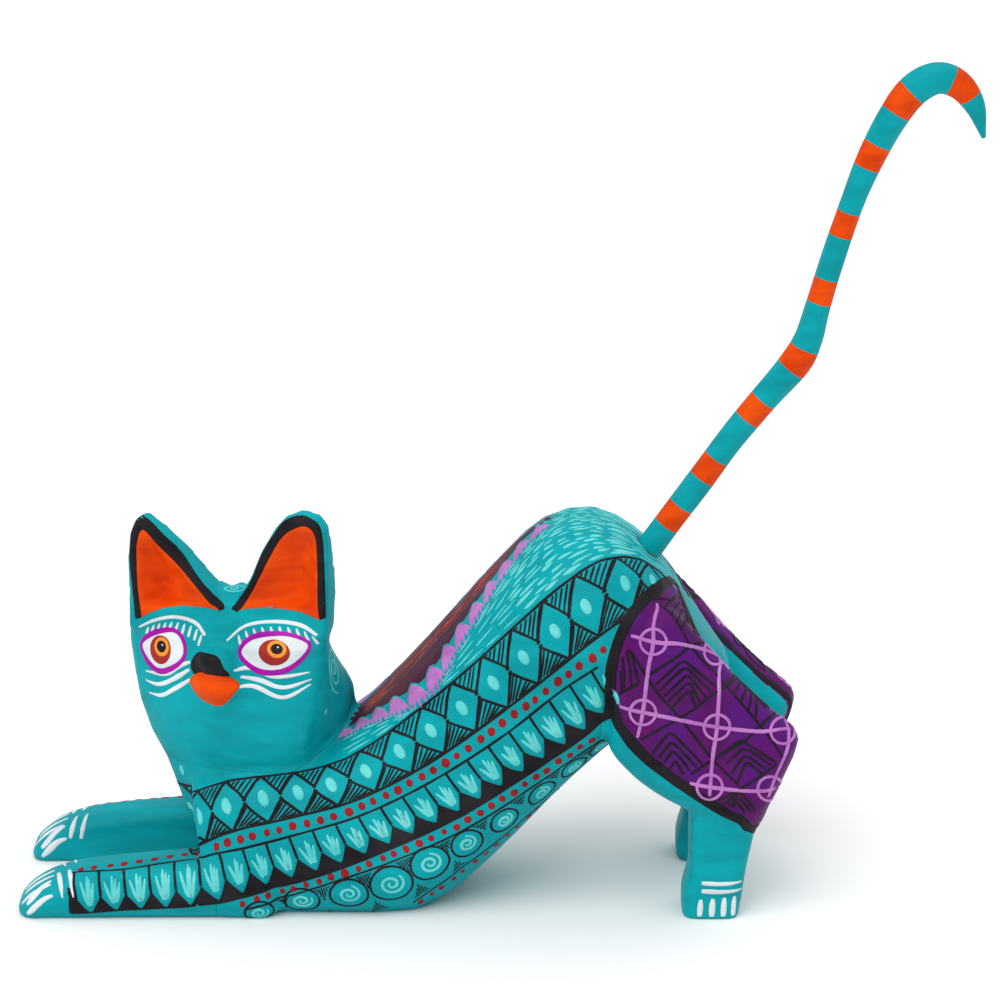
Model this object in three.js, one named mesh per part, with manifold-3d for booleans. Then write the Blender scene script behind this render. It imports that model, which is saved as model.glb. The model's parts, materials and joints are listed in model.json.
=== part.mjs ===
// A hand-carved wooden cat stretching with its chest on the ground and its rump in the air.
// Millimetres, +Z up, nose towards -X, the cat's left side towards -Y.
// The carving is modelled whole, then sawn into the pieces it is pegged together from:
// torso, head, four legs and a tail that turns and pulls out of a round socket in the rump.
import * as THREE from 'three';
import { mergeVertices } from 'three/addons/utils/BufferGeometryUtils.js';
import { ConvexGeometry } from 'three/addons/geometries/ConvexGeometry.js';
import ManifoldModule from 'manifold-3d';

const kernel = await ManifoldModule();
kernel.setup();

// ---- driving dimensions ----
const GAP = 0.3; // clearance left at every glued or loose joint
const BEHIND = 120; // larger than anything a cutting block has to reach

// Trunk: the line of the back, the line of the belly and the half width, from chest to rump.
// A cross-section with square 2 is an ellipse, and with more it is squarer.
const TRUNK_STATIONS = [
  { back: [-64.5, 27.5], belly: [-60, -1.5], half: 18.5, square: 3 },
  { back: [-56, 31.5], belly: [-50, -3.2], half: 21.5, square: 3 },
  { back: [-44, 32.5], belly: [-34, -3.4], half: 22.3, square: 3 },
  { back: [-33, 35.5], belly: [-16, -3], half: 22.3, square: 2.8 },
  { back: [-21.5, 46], belly: [-1, 8.8], half: 22.2, square: 2.6 },
  { back: [-9.4, 60], belly: [11, 21.6], half: 22, square: 2.5 },
  { back: [1, 72], belly: [21, 31.4], half: 22, square: 2.5 },
  { back: [9, 79.4], belly: [28, 37], half: 22, square: 2.5 },
  { back: [19, 81.6], belly: [33, 39], half: 22, square: 2.5 },
  { back: [28.5, 76.8], belly: [38, 40], half: 21, square: 2.4 },
  { back: [36, 68.2], belly: [42, 42], half: 17.5, square: 2.3 },
  { back: [42, 58.8], belly: [45.5, 45], half: 11.5, square: 2.3 },
  { back: [46.6, 52.6], belly: [48, 48.5], half: 4, square: 2.3 },
];
const ROUNDING_STEPS = 4; // facets across a rounded edge
const RING_POINTS = 30;
const STATIONS_PER_SPAN = 2;

// Front legs, side view from the toes back into the chest.
const FRONT_LEG_OUTLINE = [
  [-100.6, 1], [-99.7, 3.2], [-97, 6], [-92.5, 8.4], [-87, 9.9], [-79.5, 10.9],
  [-61, 12.6], [-48, 13.6], [-46, -0.4], [-62, -0.7], [-95, -1.2], [-99.6, -0.8],
];
const FRONT_LEG = {
  inner: 9.4, outer: 22, roundInner: 3.2, roundOuter: 4.8, spine: [[-94.5, 4.2], [-50, 6]],
};

// Hind legs, side view: a broad domed haunch, then a short straight shank and foot.
const HAUNCH_OUTLINE = [
  [22.4, 37], [21.8, 45], [22.6, 52], [25.2, 60], [29, 65.6], [33, 67.8], [38.4, 63.8],
  [44.2, 57], [50, 50.6], [56, 44.8], [60.6, 40.9], [61.6, 38.4], [59.2, 31.5], [56, 24.5],
  [52.6, 18.4], [45.5, 19.8], [39.3, 23], [34.4, 25.6], [29.4, 29], [25.4, 32.8],
];
const HAUNCH = {
  inner: 8.5, outer: 23.4, roundInner: 8, roundOuter: 6.5, spine: [[35, 58], [48, 34]],
};
const RIGHT_HAUNCH_SHIFT = [1.4, -3.2]; // the right haunch was left lower and further back
const SHANK_OUTLINE = [
  [40, 34], [39.3, 22], [39.2, 10], [38.2, 6.2], [37.9, 2.4], [38.8, -1.6], [48.8, -1.6],
  [50, 2], [51.1, 10], [53.2, 21], [54.5, 34],
];
const SHANK = {
  inner: 9.6, outer: 21.4, roundInner: 3, roundOuter: 3, spine: [[44.6, 4.5], [46.8, 30]],
};

// Head: turned to look over the left side, and tipped a little towards the toes.
// half, face and nape are its half width and its reach forwards and backwards; fall is how far
// the face drops back from its middle ridge to its corners, flare the half width behind, and
// off moves the whole section across the face.
const HEAD_AT = [-53.3, -3.5];
const HEAD_TURN = THREE.MathUtils.degToRad(-18);
const HEAD_TIP = THREE.MathUtils.degToRad(-3);
const HEAD_TIP_PIVOT = 60;
const HEAD_STATIONS = [
  { z: 18, off: -1, half: 14, face: 9, nape: 15, flare: 15, fall: 6 },
  { z: 26, off: -1.5, half: 15, face: 10.5, nape: 17, flare: 17, fall: 6 },
  { z: 31, off: -1.8, half: 16.4, face: 10.8, nape: 17.5, flare: 19.6, fall: 6 },
  { z: 37, off: -2, half: 18, face: 13.2, nape: 17, flare: 21.4, fall: 6.5 },
  { z: 44, off: -2, half: 19.8, face: 13.8, nape: 14, flare: 21.6, fall: 6.5 },
  { z: 50, off: -1.6, half: 20.9, face: 13.4, nape: 9.4, flare: 20.8, fall: 6 },
  { z: 57, off: -1.2, half: 21.7, face: 12.8, nape: 4.4, flare: 20, fall: 5 },
  { z: 62.5, off: -0.4, half: 21.9, face: 12, nape: 0.8, flare: 19.6, fall: 3.2 },
  { z: 66.8, off: 0.6, half: 20.5, face: 10.6, nape: -0.6, flare: 18, fall: 2.4 },
  { z: 69.1, off: 0.5, half: 14, face: 7.2, nape: -2, flare: 12, fall: 2 },
];

// Ears, seen from the face (x, z): outline, edge of the carved hollow and the hollow's valley.
// The right ear is carved to a point, the left one to a rounder, taller tip.
const EARS = [
  {
    outline: [
      [-21.6, 60], [-20.9, 68], [-20.6, 75.5], [-19.7, 81], [-18.2, 84], [-15.9, 85.3],
      [-11.8, 81.5], [-8.5, 78], [-4.9, 72.6], [-1, 68], [-1, 62],
    ],
    hollow: [[-18.4, 64.5], [-18.5, 75.5], [-16.6, 82], [-13.5, 79], [-8.7, 74], [-2.8, 67]],
    valley: [[-14.2, 67], [-14.6, 74]],
  },
  {
    outline: [
      [2.4, 62], [2.4, 67], [6.2, 72.5], [9, 78.3], [12.3, 83.4], [14.8, 86], [18.4, 87.4],
      [21.8, 86.6], [23.4, 84], [23.5, 78.6], [23, 71], [21.8, 60],
    ],
    hollow: [
      [5, 67], [11.2, 77.6], [14.5, 82], [17.5, 84.2], [20, 84.3], [21.4, 82], [21.3, 74], [21, 66],
    ],
    valley: [[15.2, 68.4], [16.4, 76]],
  },
];
const EAR = { front: 10.6, back: 0, bevel: 1, mouth: 13, brow: 10.8, deepest: 6 };
const EAR_BACK = [[-1.3, 60], [-4.7, 70.3], [-8, 86], [-8.4, 90], [20, 90], [20, 60]]; // (y, z) cut away

// Snout: a rounded nose above a rounded pair of lips.
const NOSE = { x: -1, z: 55.4, across: 4.5, out: 4.8, tall: 3.4, at: 12 };
const LIPS = { x: -1, z: 49.8, across: 5.8, out: 4.2, tall: 3.7, at: 12 };

// Tail: centre line and radius from the rump to the hooked tip.
const TAIL_STATIONS = [
  { at: [30.9, 74.4], r: 2.85 },
  { at: [35.1, 80.4], r: 2.8 },
  { at: [41.2, 89], r: 2.8 },
  { at: [47.3, 97.9], r: 2.8 },
  { at: [54, 106.6], r: 2.9 },
  { at: [60.4, 114.4], r: 3.25 },
  { at: [63, 119.6], r: 2.9 },
  { at: [64.7, 126], r: 2.65 },
  { at: [66.9, 134], r: 2.5 },
  { at: [69.4, 142.4], r: 2.45 },
  { at: [72.1, 150.6], r: 2.5 },
  { at: [75, 158], r: 2.8 },
  { at: [78.6, 165.2], r: 3.1 },
  { at: [82.8, 171.2], r: 3.3 },
  { at: [87.6, 173.8], r: 3.2 },
  { at: [92, 172.4], r: 2.95 },
  { at: [95.4, 168], r: 2.1 },
  { at: [97.4, 161.6], r: 0.45 },
];
const TAIL_SIDES = 12;
const TAIL_STEPS = 34;

// Where the pieces are sawn apart.
const NECK_SAW = [[-120, 30.4], [-43, 30.4], [-33.5, 35.4], [-30.4, 42], [-29.4, 120], [-120, 120]];
const HAUNCH_SAW = [
  [20.5, -20], [20.5, 34], [20.8, 45], [21.6, 52.4], [24.2, 60.4], [28.6, 67.6], [33.6, 73],
  [60, 82], [90, 60], [90, -20],
];
const FRONT_LEG_SAW = { x: -59, inner: 9, top: 18.6 };
const SPINE_HALF = 9; // half of the tongue of trunk left standing between the haunches

// Hidden dowels: radius, and how far each one runs to either side of its joint.
const DOWEL_SIDES = 16;
const NECK_DOWEL = { at: [-51, -2.5], r: 3.5, low: 17, high: 44 };
const FRONT_LEG_DOWEL = { side: 15.6, z: 7.4, r: 2, front: -69, rear: -49.5 };
const HIND_LEG_DOWEL = { at: [36.5, 53], r: 2.5, inner: 3.2, outer: 16.5 };
const TAIL_PEG = { r: 1.5, inRump: 15, inTail: 9 };
const SOCKET = { r: 3.3, depth: 0.9 };

// ---- solids ----
function toSolid(geometry) {
  const bare = geometry.index ? geometry.toNonIndexed() : geometry.clone();
  bare.deleteAttribute('normal');
  bare.deleteAttribute('uv');
  const merged = mergeVertices(bare, 1e-3);
  const vertProperties = merged.attributes.position.array;
  const triVerts = new Uint32Array(merged.index.array);
  const solid = new kernel.Manifold(new kernel.Mesh({ numProp: 3, vertProperties, triVerts }));
  if (solid.volume() > 0) return solid;
  triVerts.reverse(); // the rings ran the other way round: turn every face outwards
  return new kernel.Manifold(new kernel.Mesh({ numProp: 3, vertProperties, triVerts }));
}

function toGeometry(solid) {
  const mesh = solid.getMesh();
  const geometry = new THREE.BufferGeometry();
  geometry.setAttribute('position', new THREE.BufferAttribute(mesh.vertProperties, 3));
  geometry.setIndex(new THREE.BufferAttribute(mesh.triVerts, 1));
  geometry.computeVertexNormals();
  return geometry;
}

// Booleans can leave flakes without volume behind: keep the one real body.
function mainBody(solid) {
  return solid.decompose().reduce((most, body) => (body.volume() > most.volume() ? body : most));
}

// A closed skin stretched over rings that all have the same number of points.
function loft(rings) {
  const sides = rings[0].length;
  const positions = rings.flat().flatMap((p) => [p.x, p.y, p.z]);
  const index = [];
  for (let i = 0; i < rings.length - 1; i++) {
    for (let j = 0; j < sides; j++) {
      const a = i * sides + j;
      const b = i * sides + (j + 1) % sides;
      index.push(a, b, b + sides, a, b + sides, a + sides);
    }
  }
  for (const [ring, flip] of [[0, true], [rings.length - 1, false]]) {
    const centre = rings[ring].reduce((sum, p) => sum.add(p), new THREE.Vector3()).divideScalar(sides);
    const hub = positions.length / 3;
    positions.push(centre.x, centre.y, centre.z);
    for (let j = 0; j < sides; j++) {
      const a = ring * sides + j;
      const b = ring * sides + (j + 1) % sides;
      index.push(...(flip ? [b, a, hub] : [a, b, hub]));
    }
  }
  const geometry = new THREE.BufferGeometry();
  geometry.setAttribute('position', new THREE.Float32BufferAttribute(positions, 3));
  geometry.setIndex(index);
  return geometry;
}

// A side-view outline (x, z) made into a slab between two values of y, with rounded edges.
function slab(outline, yFrom, yTo, bevel = 0) {
  const shape = new THREE.Shape(outline.map(([x, z]) => new THREE.Vector2(x, z)));
  const geometry = new THREE.ExtrudeGeometry(shape, {
    depth: yTo - yFrom - 2 * bevel,
    bevelEnabled: bevel > 0,
    bevelThickness: bevel,
    bevelSize: bevel,
    bevelOffset: -bevel,
    bevelSegments: 3,
    steps: 1,
  });
  geometry.rotateX(Math.PI / 2);
  geometry.translate(0, yTo - bevel, 0);
  return geometry;
}

// A limb: its side-view outline drawn in towards a spine line as it nears either face.
function limb(outline, { inner, outer, roundInner, roundOuter, spine }, side) {
  const line = new THREE.Line3(...spine.map(([x, z]) => new THREE.Vector3(x, 0, z)));
  const rings = [];
  for (const [face, round, inwards] of [[inner, roundInner, 1], [outer, roundOuter, -1]]) {
    for (let i = 0; i <= ROUNDING_STEPS; i++) {
      const turn = ((inwards > 0 ? i : ROUNDING_STEPS - i) / ROUNDING_STEPS) * (Math.PI / 2);
      const y = face + inwards * round * (1 - Math.cos(turn));
      rings.push(drawnIn(outline, line, round * (1 - Math.sin(turn)), side * y));
    }
  }
  return toSolid(loft(rings));
}

function drawnIn(outline, line, distance, y) {
  return outline.map(([x, z]) => {
    const point = new THREE.Vector3(x, 0, z);
    const core = line.closestPointToPoint(point, true, new THREE.Vector3());
    const reach = point.distanceTo(core);
    point.lerp(core, Math.min(distance / reach, 0.8));
    return point.setY(y);
  });
}

function block(x0, x1, y0, y1, z0, z1) {
  const geometry = new THREE.BoxGeometry(x1 - x0, y1 - y0, z1 - z0);
  geometry.translate((x0 + x1) / 2, (y0 + y1) / 2, (z0 + z1) / 2);
  return toSolid(geometry);
}

// A round rod between two points.
function rod(from, to, r) {
  const axis = new THREE.Vector3().subVectors(to, from);
  const geometry = new THREE.CylinderGeometry(r, r, axis.length(), DOWEL_SIDES);
  const up = new THREE.Vector3(0, 1, 0);
  geometry.applyQuaternion(new THREE.Quaternion().setFromUnitVectors(up, axis.normalize()));
  const middle = new THREE.Vector3().addVectors(from, to).multiplyScalar(0.5);
  geometry.translate(middle.x, middle.y, middle.z);
  return toSolid(geometry);
}

const smooth = (outline, count) => new THREE.CatmullRomCurve3(
  outline.map(([x, z]) => new THREE.Vector3(x, 0, z)), true, 'centripetal',
).getPoints(count).slice(0, -1).map((p) => [p.x, p.z]);

// ---- the carving, whole ----
function trunk() {
  const back = new THREE.CatmullRomCurve3(
    TRUNK_STATIONS.map((s) => new THREE.Vector3(s.back[0], s.half, s.back[1])));
  const belly = new THREE.CatmullRomCurve3(
    TRUNK_STATIONS.map((s) => new THREE.Vector3(s.belly[0], s.square, s.belly[1])));
  const spans = (TRUNK_STATIONS.length - 1) * STATIONS_PER_SPAN;
  const rings = [];
  for (let i = 0; i <= spans; i++) {
    const top = back.getPoint(i / spans);
    const low = belly.getPoint(i / spans);
    rings.push(trunkRing(top, low));
  }
  return toSolid(loft(rings));
}

// The half width is carried in top.y and the squareness in low.y.
function trunkRing(top, low) {
  const bulge = (v) => Math.sign(v) * Math.abs(v) ** (2 / low.y);
  const ring = [];
  for (let j = 0; j < RING_POINTS; j++) {
    const turn = (j / RING_POINTS) * 2 * Math.PI;
    const rise = (1 + bulge(Math.sin(turn))) / 2;
    ring.push(new THREE.Vector3(
      low.x + (top.x - low.x) * rise,
      top.y * bulge(Math.cos(turn)),
      low.z + (top.z - low.z) * rise,
    ));
  }
  return ring;
}

// Head frame: x across the face, y towards the nape, z up. The face looks along -y.
function placeHead(geometry) {
  geometry.translate(0, 0, -HEAD_TIP_PIVOT);
  geometry.rotateY(HEAD_TIP);
  geometry.translate(0, 0, HEAD_TIP_PIVOT);
  geometry.rotateZ(HEAD_TURN);
  geometry.translate(HEAD_AT[0], HEAD_AT[1], 0);
  return toSolid(geometry);
}

function headRing({ z, off, half, face, nape, flare, fall }) {
  const side = [
    [0, -face], [half * 0.5, -face + fall * 0.22], [half * 0.93, -face + fall * 0.8],
    [half, -face + fall * 0.8 + 2.6], [flare, nape - 4], [flare * 0.8, nape - 1],
  ];
  const mirrored = side.slice(1).reverse().map(([x, y]) => [-x, y]);
  const corners = [...side, [0, nape], ...mirrored];
  return new THREE.CatmullRomCurve3(
    corners.map(([x, y]) => new THREE.Vector3(x + off, y, z)), true, 'centripetal',
  ).getPoints(RING_POINTS).slice(0, -1);
}

function skull() {
  return placeHead(loft(HEAD_STATIONS.map(headRing)));
}

function ear({ outline }) {
  return placeHead(slab(outline, -EAR.front, -EAR.back, EAR.bevel));
}

// What is carved off behind both ears, leaving them thin at the tips.
function behindEars() {
  const geometry = slab(EAR_BACK, -BEHIND, BEHIND);
  geometry.rotateZ(Math.PI / 2);
  return placeHead(geometry);
}

// The hollow of an ear: a knife-cut valley, shallow at its edge and deepest low down.
function hollow({ hollow: edge, valley }) {
  const corners = [
    ...edge.map(([x, z]) => new THREE.Vector3(x, -EAR.mouth, z)),
    ...edge.map(([x, z]) => new THREE.Vector3(x, -EAR.brow, z)),
    ...valley.map(([x, z], i) => new THREE.Vector3(x, -EAR.deepest - i, z)),
  ];
  return placeHead(new ConvexGeometry(corners));
}

function bump({ x, z, across, out, tall, at }) {
  const geometry = new THREE.SphereGeometry(1, 14, 8);
  geometry.scale(across, out, tall);
  geometry.translate(x, -at, z);
  return placeHead(geometry);
}

function headSolid() {
  const ears = EARS.map(ear).reduce((both, each) => both.add(each)).subtract(behindEars());
  const hollowed = EARS.map(hollow).reduce((head, each) => head.subtract(each), skull().add(ears));
  return hollowed.add(bump(NOSE)).add(bump(LIPS));
}

function haunch(outline, side) {
  const solid = limb(outline, HAUNCH, side);
  return side < 0 ? solid : solid.translate(RIGHT_HAUNCH_SHIFT[0], 0, RIGHT_HAUNCH_SHIFT[1]);
}

// The whole figure in one piece. side is -1 for the cat's left, +1 for its right.
function carving() {
  const frontOutline = smooth(FRONT_LEG_OUTLINE, 26);
  const haunchOutline = smooth(HAUNCH_OUTLINE, 40);
  const shankOutline = smooth(SHANK_OUTLINE, 24);
  let whole = trunk().add(headSolid());
  for (const side of [-1, 1]) {
    whole = whole.add(limb(frontOutline, FRONT_LEG, side));
    whole = whole.add(haunch(haunchOutline, side));
    whole = whole.add(limb(shankOutline, SHANK, side));
  }
  const belowGround = block(-BEHIND, BEHIND, -BEHIND, BEHIND, -BEHIND, 0);
  return whole.subtract(belowGround);
}

// ---- saw cuts: each one is made narrow for the piece and wide for what it leaves ----
function neckSaw(grow) {
  const outline = NECK_SAW.map(([x, z], i) => [
    x + (i > 0 && i < 5 ? grow : 0),
    z - (i < 4 ? grow : 0),
  ]);
  return toSolid(slab(outline, -BEHIND, BEHIND));
}

function frontLegSaw(side, grow) {
  const { x, inner, top } = FRONT_LEG_SAW;
  const y = [side * (inner - grow), side * BEHIND].sort((a, b) => a - b);
  return block(-BEHIND, x + grow, y[0], y[1], -BEHIND, top + grow);
}

function haunchSaw(side, grow) {
  const outline = HAUNCH_SAW.map(([x, z]) => [x < 50 ? x - grow : x, x > 24 && x < 50 ? z + grow : z]);
  const inner = side * (SPINE_HALF - grow);
  return toSolid(slab(outline, Math.min(inner, side * BEHIND), Math.max(inner, side * BEHIND)));
}

// ---- tail ----
const tailAxis = new THREE.Vector3(
  TAIL_STATIONS[1].at[0] - TAIL_STATIONS[0].at[0], 0,
  TAIL_STATIONS[1].at[1] - TAIL_STATIONS[0].at[1],
).normalize();
const tailRoot = new THREE.Vector3(TAIL_STATIONS[0].at[0], 0, TAIL_STATIONS[0].at[1]);
const alongTail = (distance) => tailRoot.clone().addScaledVector(tailAxis, distance);

function tailSolid() {
  const line = new THREE.CatmullRomCurve3(
    TAIL_STATIONS.map(({ at, r }) => new THREE.Vector3(at[0], r, at[1])), false, 'centripetal');
  const rings = [];
  for (let i = 0; i <= TAIL_STEPS; i++) {
    const t = i / TAIL_STEPS;
    const here = line.getPoint(t);
    const ahead = line.getTangent(t);
    const along = i === 0 ? tailAxis.clone() : new THREE.Vector3(ahead.x, 0, ahead.z).normalize();
    rings.push(tailRing(here, along));
  }
  return toSolid(loft(rings));
}

function tailRing(here, along) {
  const across = new THREE.Vector3(-along.z, 0, along.x);
  const ring = [];
  for (let j = 0; j < TAIL_SIDES; j++) {
    const turn = (j / TAIL_SIDES) * 2 * Math.PI;
    const point = new THREE.Vector3(here.x, 0, here.z);
    point.addScaledVector(across, here.y * Math.cos(turn));
    point.y = here.y * Math.sin(turn);
    ring.push(point);
  }
  return ring;
}

// ---- dowels ----
const neckDowel = (extra) => rod(
  new THREE.Vector3(...NECK_DOWEL.at, NECK_DOWEL.low - extra),
  new THREE.Vector3(...NECK_DOWEL.at, NECK_DOWEL.high + extra), NECK_DOWEL.r + extra);

const frontLegDowel = (side, extra) => {
  const { side: y, z, r, front, rear } = FRONT_LEG_DOWEL;
  return rod(
    new THREE.Vector3(front - extra, side * y, z),
    new THREE.Vector3(rear + extra, side * y, z), r + extra);
};

const hindLegDowel = (side, extra) => {
  const { at, r, inner, outer } = HIND_LEG_DOWEL;
  return rod(
    new THREE.Vector3(at[0], side * (inner - extra), at[1]),
    new THREE.Vector3(at[0], side * (outer + extra), at[1]), r + extra);
};

const tailPeg = (extra) => rod(
  alongTail(-TAIL_PEG.inRump - extra), alongTail(TAIL_PEG.inTail + extra), TAIL_PEG.r + extra);

// ---- pieces ----
function makePieces() {
  const whole = carving();
  const pieces = {};
  let torso = whole.subtract(neckSaw(GAP)).subtract(neckDowel(GAP));
  pieces.head = whole.intersect(neckSaw(0)).subtract(neckDowel(GAP));
  for (const [side, name] of [[-1, 'left'], [1, 'right']]) {
    pieces[`front_leg_${name}`] = whole.intersect(frontLegSaw(side, 0)).subtract(frontLegDowel(side, GAP));
    pieces[`hind_leg_${name}`] = whole.intersect(haunchSaw(side, 0)).subtract(hindLegDowel(side, GAP));
    torso = torso.subtract(frontLegSaw(side, GAP)).subtract(haunchSaw(side, GAP));
    torso = torso.subtract(frontLegDowel(side, GAP)).subtract(hindLegDowel(side, GAP));
    pieces[`front_leg_dowel_${name}`] = frontLegDowel(side, 0);
    pieces[`hind_leg_dowel_${name}`] = hindLegDowel(side, 0);
  }
  const socket = rod(alongTail(-GAP), alongTail(2 * SOCKET.r + SOCKET.depth), SOCKET.r);
  pieces.torso = torso.subtract(socket).subtract(tailPeg(GAP));
  pieces.tail = tailSolid().subtract(tailPeg(GAP));
  pieces.neck_dowel = neckDowel(0);
  pieces.tail_peg = tailPeg(0);
  return pieces;
}

const PAINT = { color: 0x00a0a8, roughness: 0.5, metalness: 0 };
const WOOD = { color: 0xc9a06a, roughness: 0.8, metalness: 0 };

const cat = new THREE.Group();
for (const [name, solid] of Object.entries(makePieces())) {
  const hidden = name.includes('dowel') || name.includes('peg');
  const mesh = new THREE.Mesh(toGeometry(mainBody(solid)), new THREE.MeshStandardMaterial(hidden ? WOOD : PAINT));
  mesh.name = name;
  cat.add(mesh);
}

// The origin lies on the ground under the middle of the whole figure.
const bounds = new THREE.Box3().setFromObject(cat);
cat.position.x = -(bounds.min.x + bounds.max.x) / 2;
cat.position.y = -(bounds.min.y + bounds.max.y) / 2;

export default cat;
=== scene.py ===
import json
import math
import random

import bmesh
import bpy
import numpy as np
from mathutils import Matrix, Vector
from mathutils.bvhtree import BVHTree
from mathutils.geometry import delaunay_2d_cdt


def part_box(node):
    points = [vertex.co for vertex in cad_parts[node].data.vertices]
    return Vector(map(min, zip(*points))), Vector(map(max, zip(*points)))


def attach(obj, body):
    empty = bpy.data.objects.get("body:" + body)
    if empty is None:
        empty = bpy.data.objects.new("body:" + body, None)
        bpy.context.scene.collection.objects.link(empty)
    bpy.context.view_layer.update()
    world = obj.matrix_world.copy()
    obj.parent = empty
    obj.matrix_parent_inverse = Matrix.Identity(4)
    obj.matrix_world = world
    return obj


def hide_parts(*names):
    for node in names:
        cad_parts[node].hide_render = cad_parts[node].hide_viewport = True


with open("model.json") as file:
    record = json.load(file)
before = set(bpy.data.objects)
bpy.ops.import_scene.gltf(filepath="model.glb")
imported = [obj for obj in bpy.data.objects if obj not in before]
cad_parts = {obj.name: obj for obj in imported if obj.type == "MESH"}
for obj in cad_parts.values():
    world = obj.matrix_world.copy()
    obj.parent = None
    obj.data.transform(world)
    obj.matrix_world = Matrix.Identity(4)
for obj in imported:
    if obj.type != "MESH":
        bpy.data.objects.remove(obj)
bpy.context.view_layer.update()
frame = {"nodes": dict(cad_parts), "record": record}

# The cat is carved and painted in millimetres in its own frame, and moved to the row frame at the end.
MM = 0.001
TOE_X = -100.6
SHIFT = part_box("front_leg_left")[0].x / MM - TOE_X
TO_CARVING = Matrix.Translation((-SHIFT, 0, 0)) @ Matrix.Scale(1 / MM, 4)
TO_ROW = TO_CARVING.inverted()
HAND = random.Random(11)  # the unsteadiness of the painter's hand

# Trunk sections from chest to rump: back (x, z) and belly (x, z).
TRUNK = (
    ((-64.5, 27.5), (-60, -1.5)), ((-56, 31.5), (-50, -3.2)), ((-44, 32.5), (-34, -3.4)),
    ((-33, 35.5), (-16, -3)), ((-21.5, 46), (-1, 8.8)), ((-9.4, 60), (11, 21.6)),
    ((1, 72), (21, 31.4)), ((9, 79.4), (28, 37)), ((19, 81.6), (33, 39)),
    ((28.5, 76.8), (38, 40)), ((36, 68.2), (42, 42)), ((42, 58.8), (45.5, 45)),
)
LEG_SIDE, LEG_Z = 15.7, 5.0  # axis of a front leg
THIGH_OUTER = 22.0
RIGHT_HAUNCH_SHIFT = (1.4, -3.2)
THIGH_EDGE = 13.0  # how far out from the middle the purple of a thigh begins
PANEL_CREST = 39.5  # ahead of this the purple reaches up over the trunk
BROWSE_TILT = math.radians(18)  # how far from above the thighs are looked at when placing their pattern

# Saw cuts between the pieces, as side-view outlines (x, z).
NECK_SAW = ((-120, 30.4), (-43, 30.4), (-33.5, 35.4), (-30.4, 42), (-29.4, 120), (-120, 120))
HAUNCH_SAW = (
    (20.5, -20), (20.5, 34), (20.8, 45), (21.6, 52.4), (24.2, 60.4), (28.6, 67.6), (33.6, 73),
    (60, 82), (90, 60), (90, -20),
)
FRONT_LEG_SAW = ((-130, -20), (-59, -20), (-59, 18.6), (-130, 18.6))
HAUNCH_INNER, LEG_INNER = 9.0, 9.0
HAIRLINE = 0.03  # half of the crack left at a glued joint

# Dowels: ends and radius.
DOWELS = {
    "neck_dowel": ((-51, -2.5, 17), (-51, -2.5, 44), 3.5),
    "front_leg_dowel_left": ((-69, -15.6, 7.4), (-49.5, -15.6, 7.4), 2.0),
    "front_leg_dowel_right": ((-69, 15.6, 7.4), (-49.5, 15.6, 7.4), 2.0),
    "hind_leg_dowel_left": ((36.5, -16.5, 53), (36.5, -3.2, 53), 2.5),
    "hind_leg_dowel_right": ((36.5, 3.2, 53), (36.5, 16.5, 53), 2.5),
}
BORE_PLAY = 0.15

# Tail: centre line (x, z) and radius from rump to tip.
TAIL = (
    (30.9, 74.4, 2.85), (35.1, 80.4, 2.8), (41.2, 89, 2.8), (47.3, 97.9, 2.8), (54, 106.6, 2.9),
    (60.4, 114.4, 3.25), (63, 119.6, 2.9), (64.7, 126, 2.65), (66.9, 134, 2.5),
    (69.4, 142.4, 2.45), (72.1, 150.6, 2.5), (75, 158, 2.8), (78.6, 165.2, 3.1),
    (82.8, 171.2, 3.3), (87.6, 173.8, 3.2), (92, 172.4, 2.95), (95.4, 168, 2.1), (97.4, 161.6, 0.45),
)
# Middle of each orange band, in mm from the rump.
TAIL_BANDS = (8.9, 21.4, 37.0, 50.9, 66.2, 80.7, 95.8, 108.4, 122.3)
TAIL_BAND_LONG = 5.2
SOCKET_R, SOCKET_FLOOR, PEG_R, PEG_IN_RUMP, PEG_IN_TAIL = 3.3, -0.3, 1.5, 15, 9

# Head frame: x across the face, y towards the nape, z up.
HEAD = (
    Matrix.Translation((-53.3, -3.5, 60)) @ Matrix.Rotation(math.radians(-18), 4, "Z")
    @ Matrix.Rotation(math.radians(-3), 4, "Y") @ Matrix.Translation((0, 0, -60))
)

# Where the left ear runs into the cheek, and how far around it is worn smooth, in the head frame.
TEMPLE, TEMPLE_REACH = (20.5, 1.0, 57.5), (8.0, 12.0, 13.0)

VOXEL = 0.6
SWELL = 0.25
STEP = 0.65  # longest step along a brush stroke
EDGE_DEPTH = 0.05  # how far the rim of each brush stroke sinks into the skin
RIM_DROP = 0.03  # how much thinner a filled shape is at its rim


def srgb(red, green, blue):
    """A colour given as 0 to 255, made linear."""
    def linear(c):
        return ((c / 255 + 0.055) / 1.055) ** 2.4 if c > 10 else c / 255 / 12.92

    return linear(red), linear(green), linear(blue), 1


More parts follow.
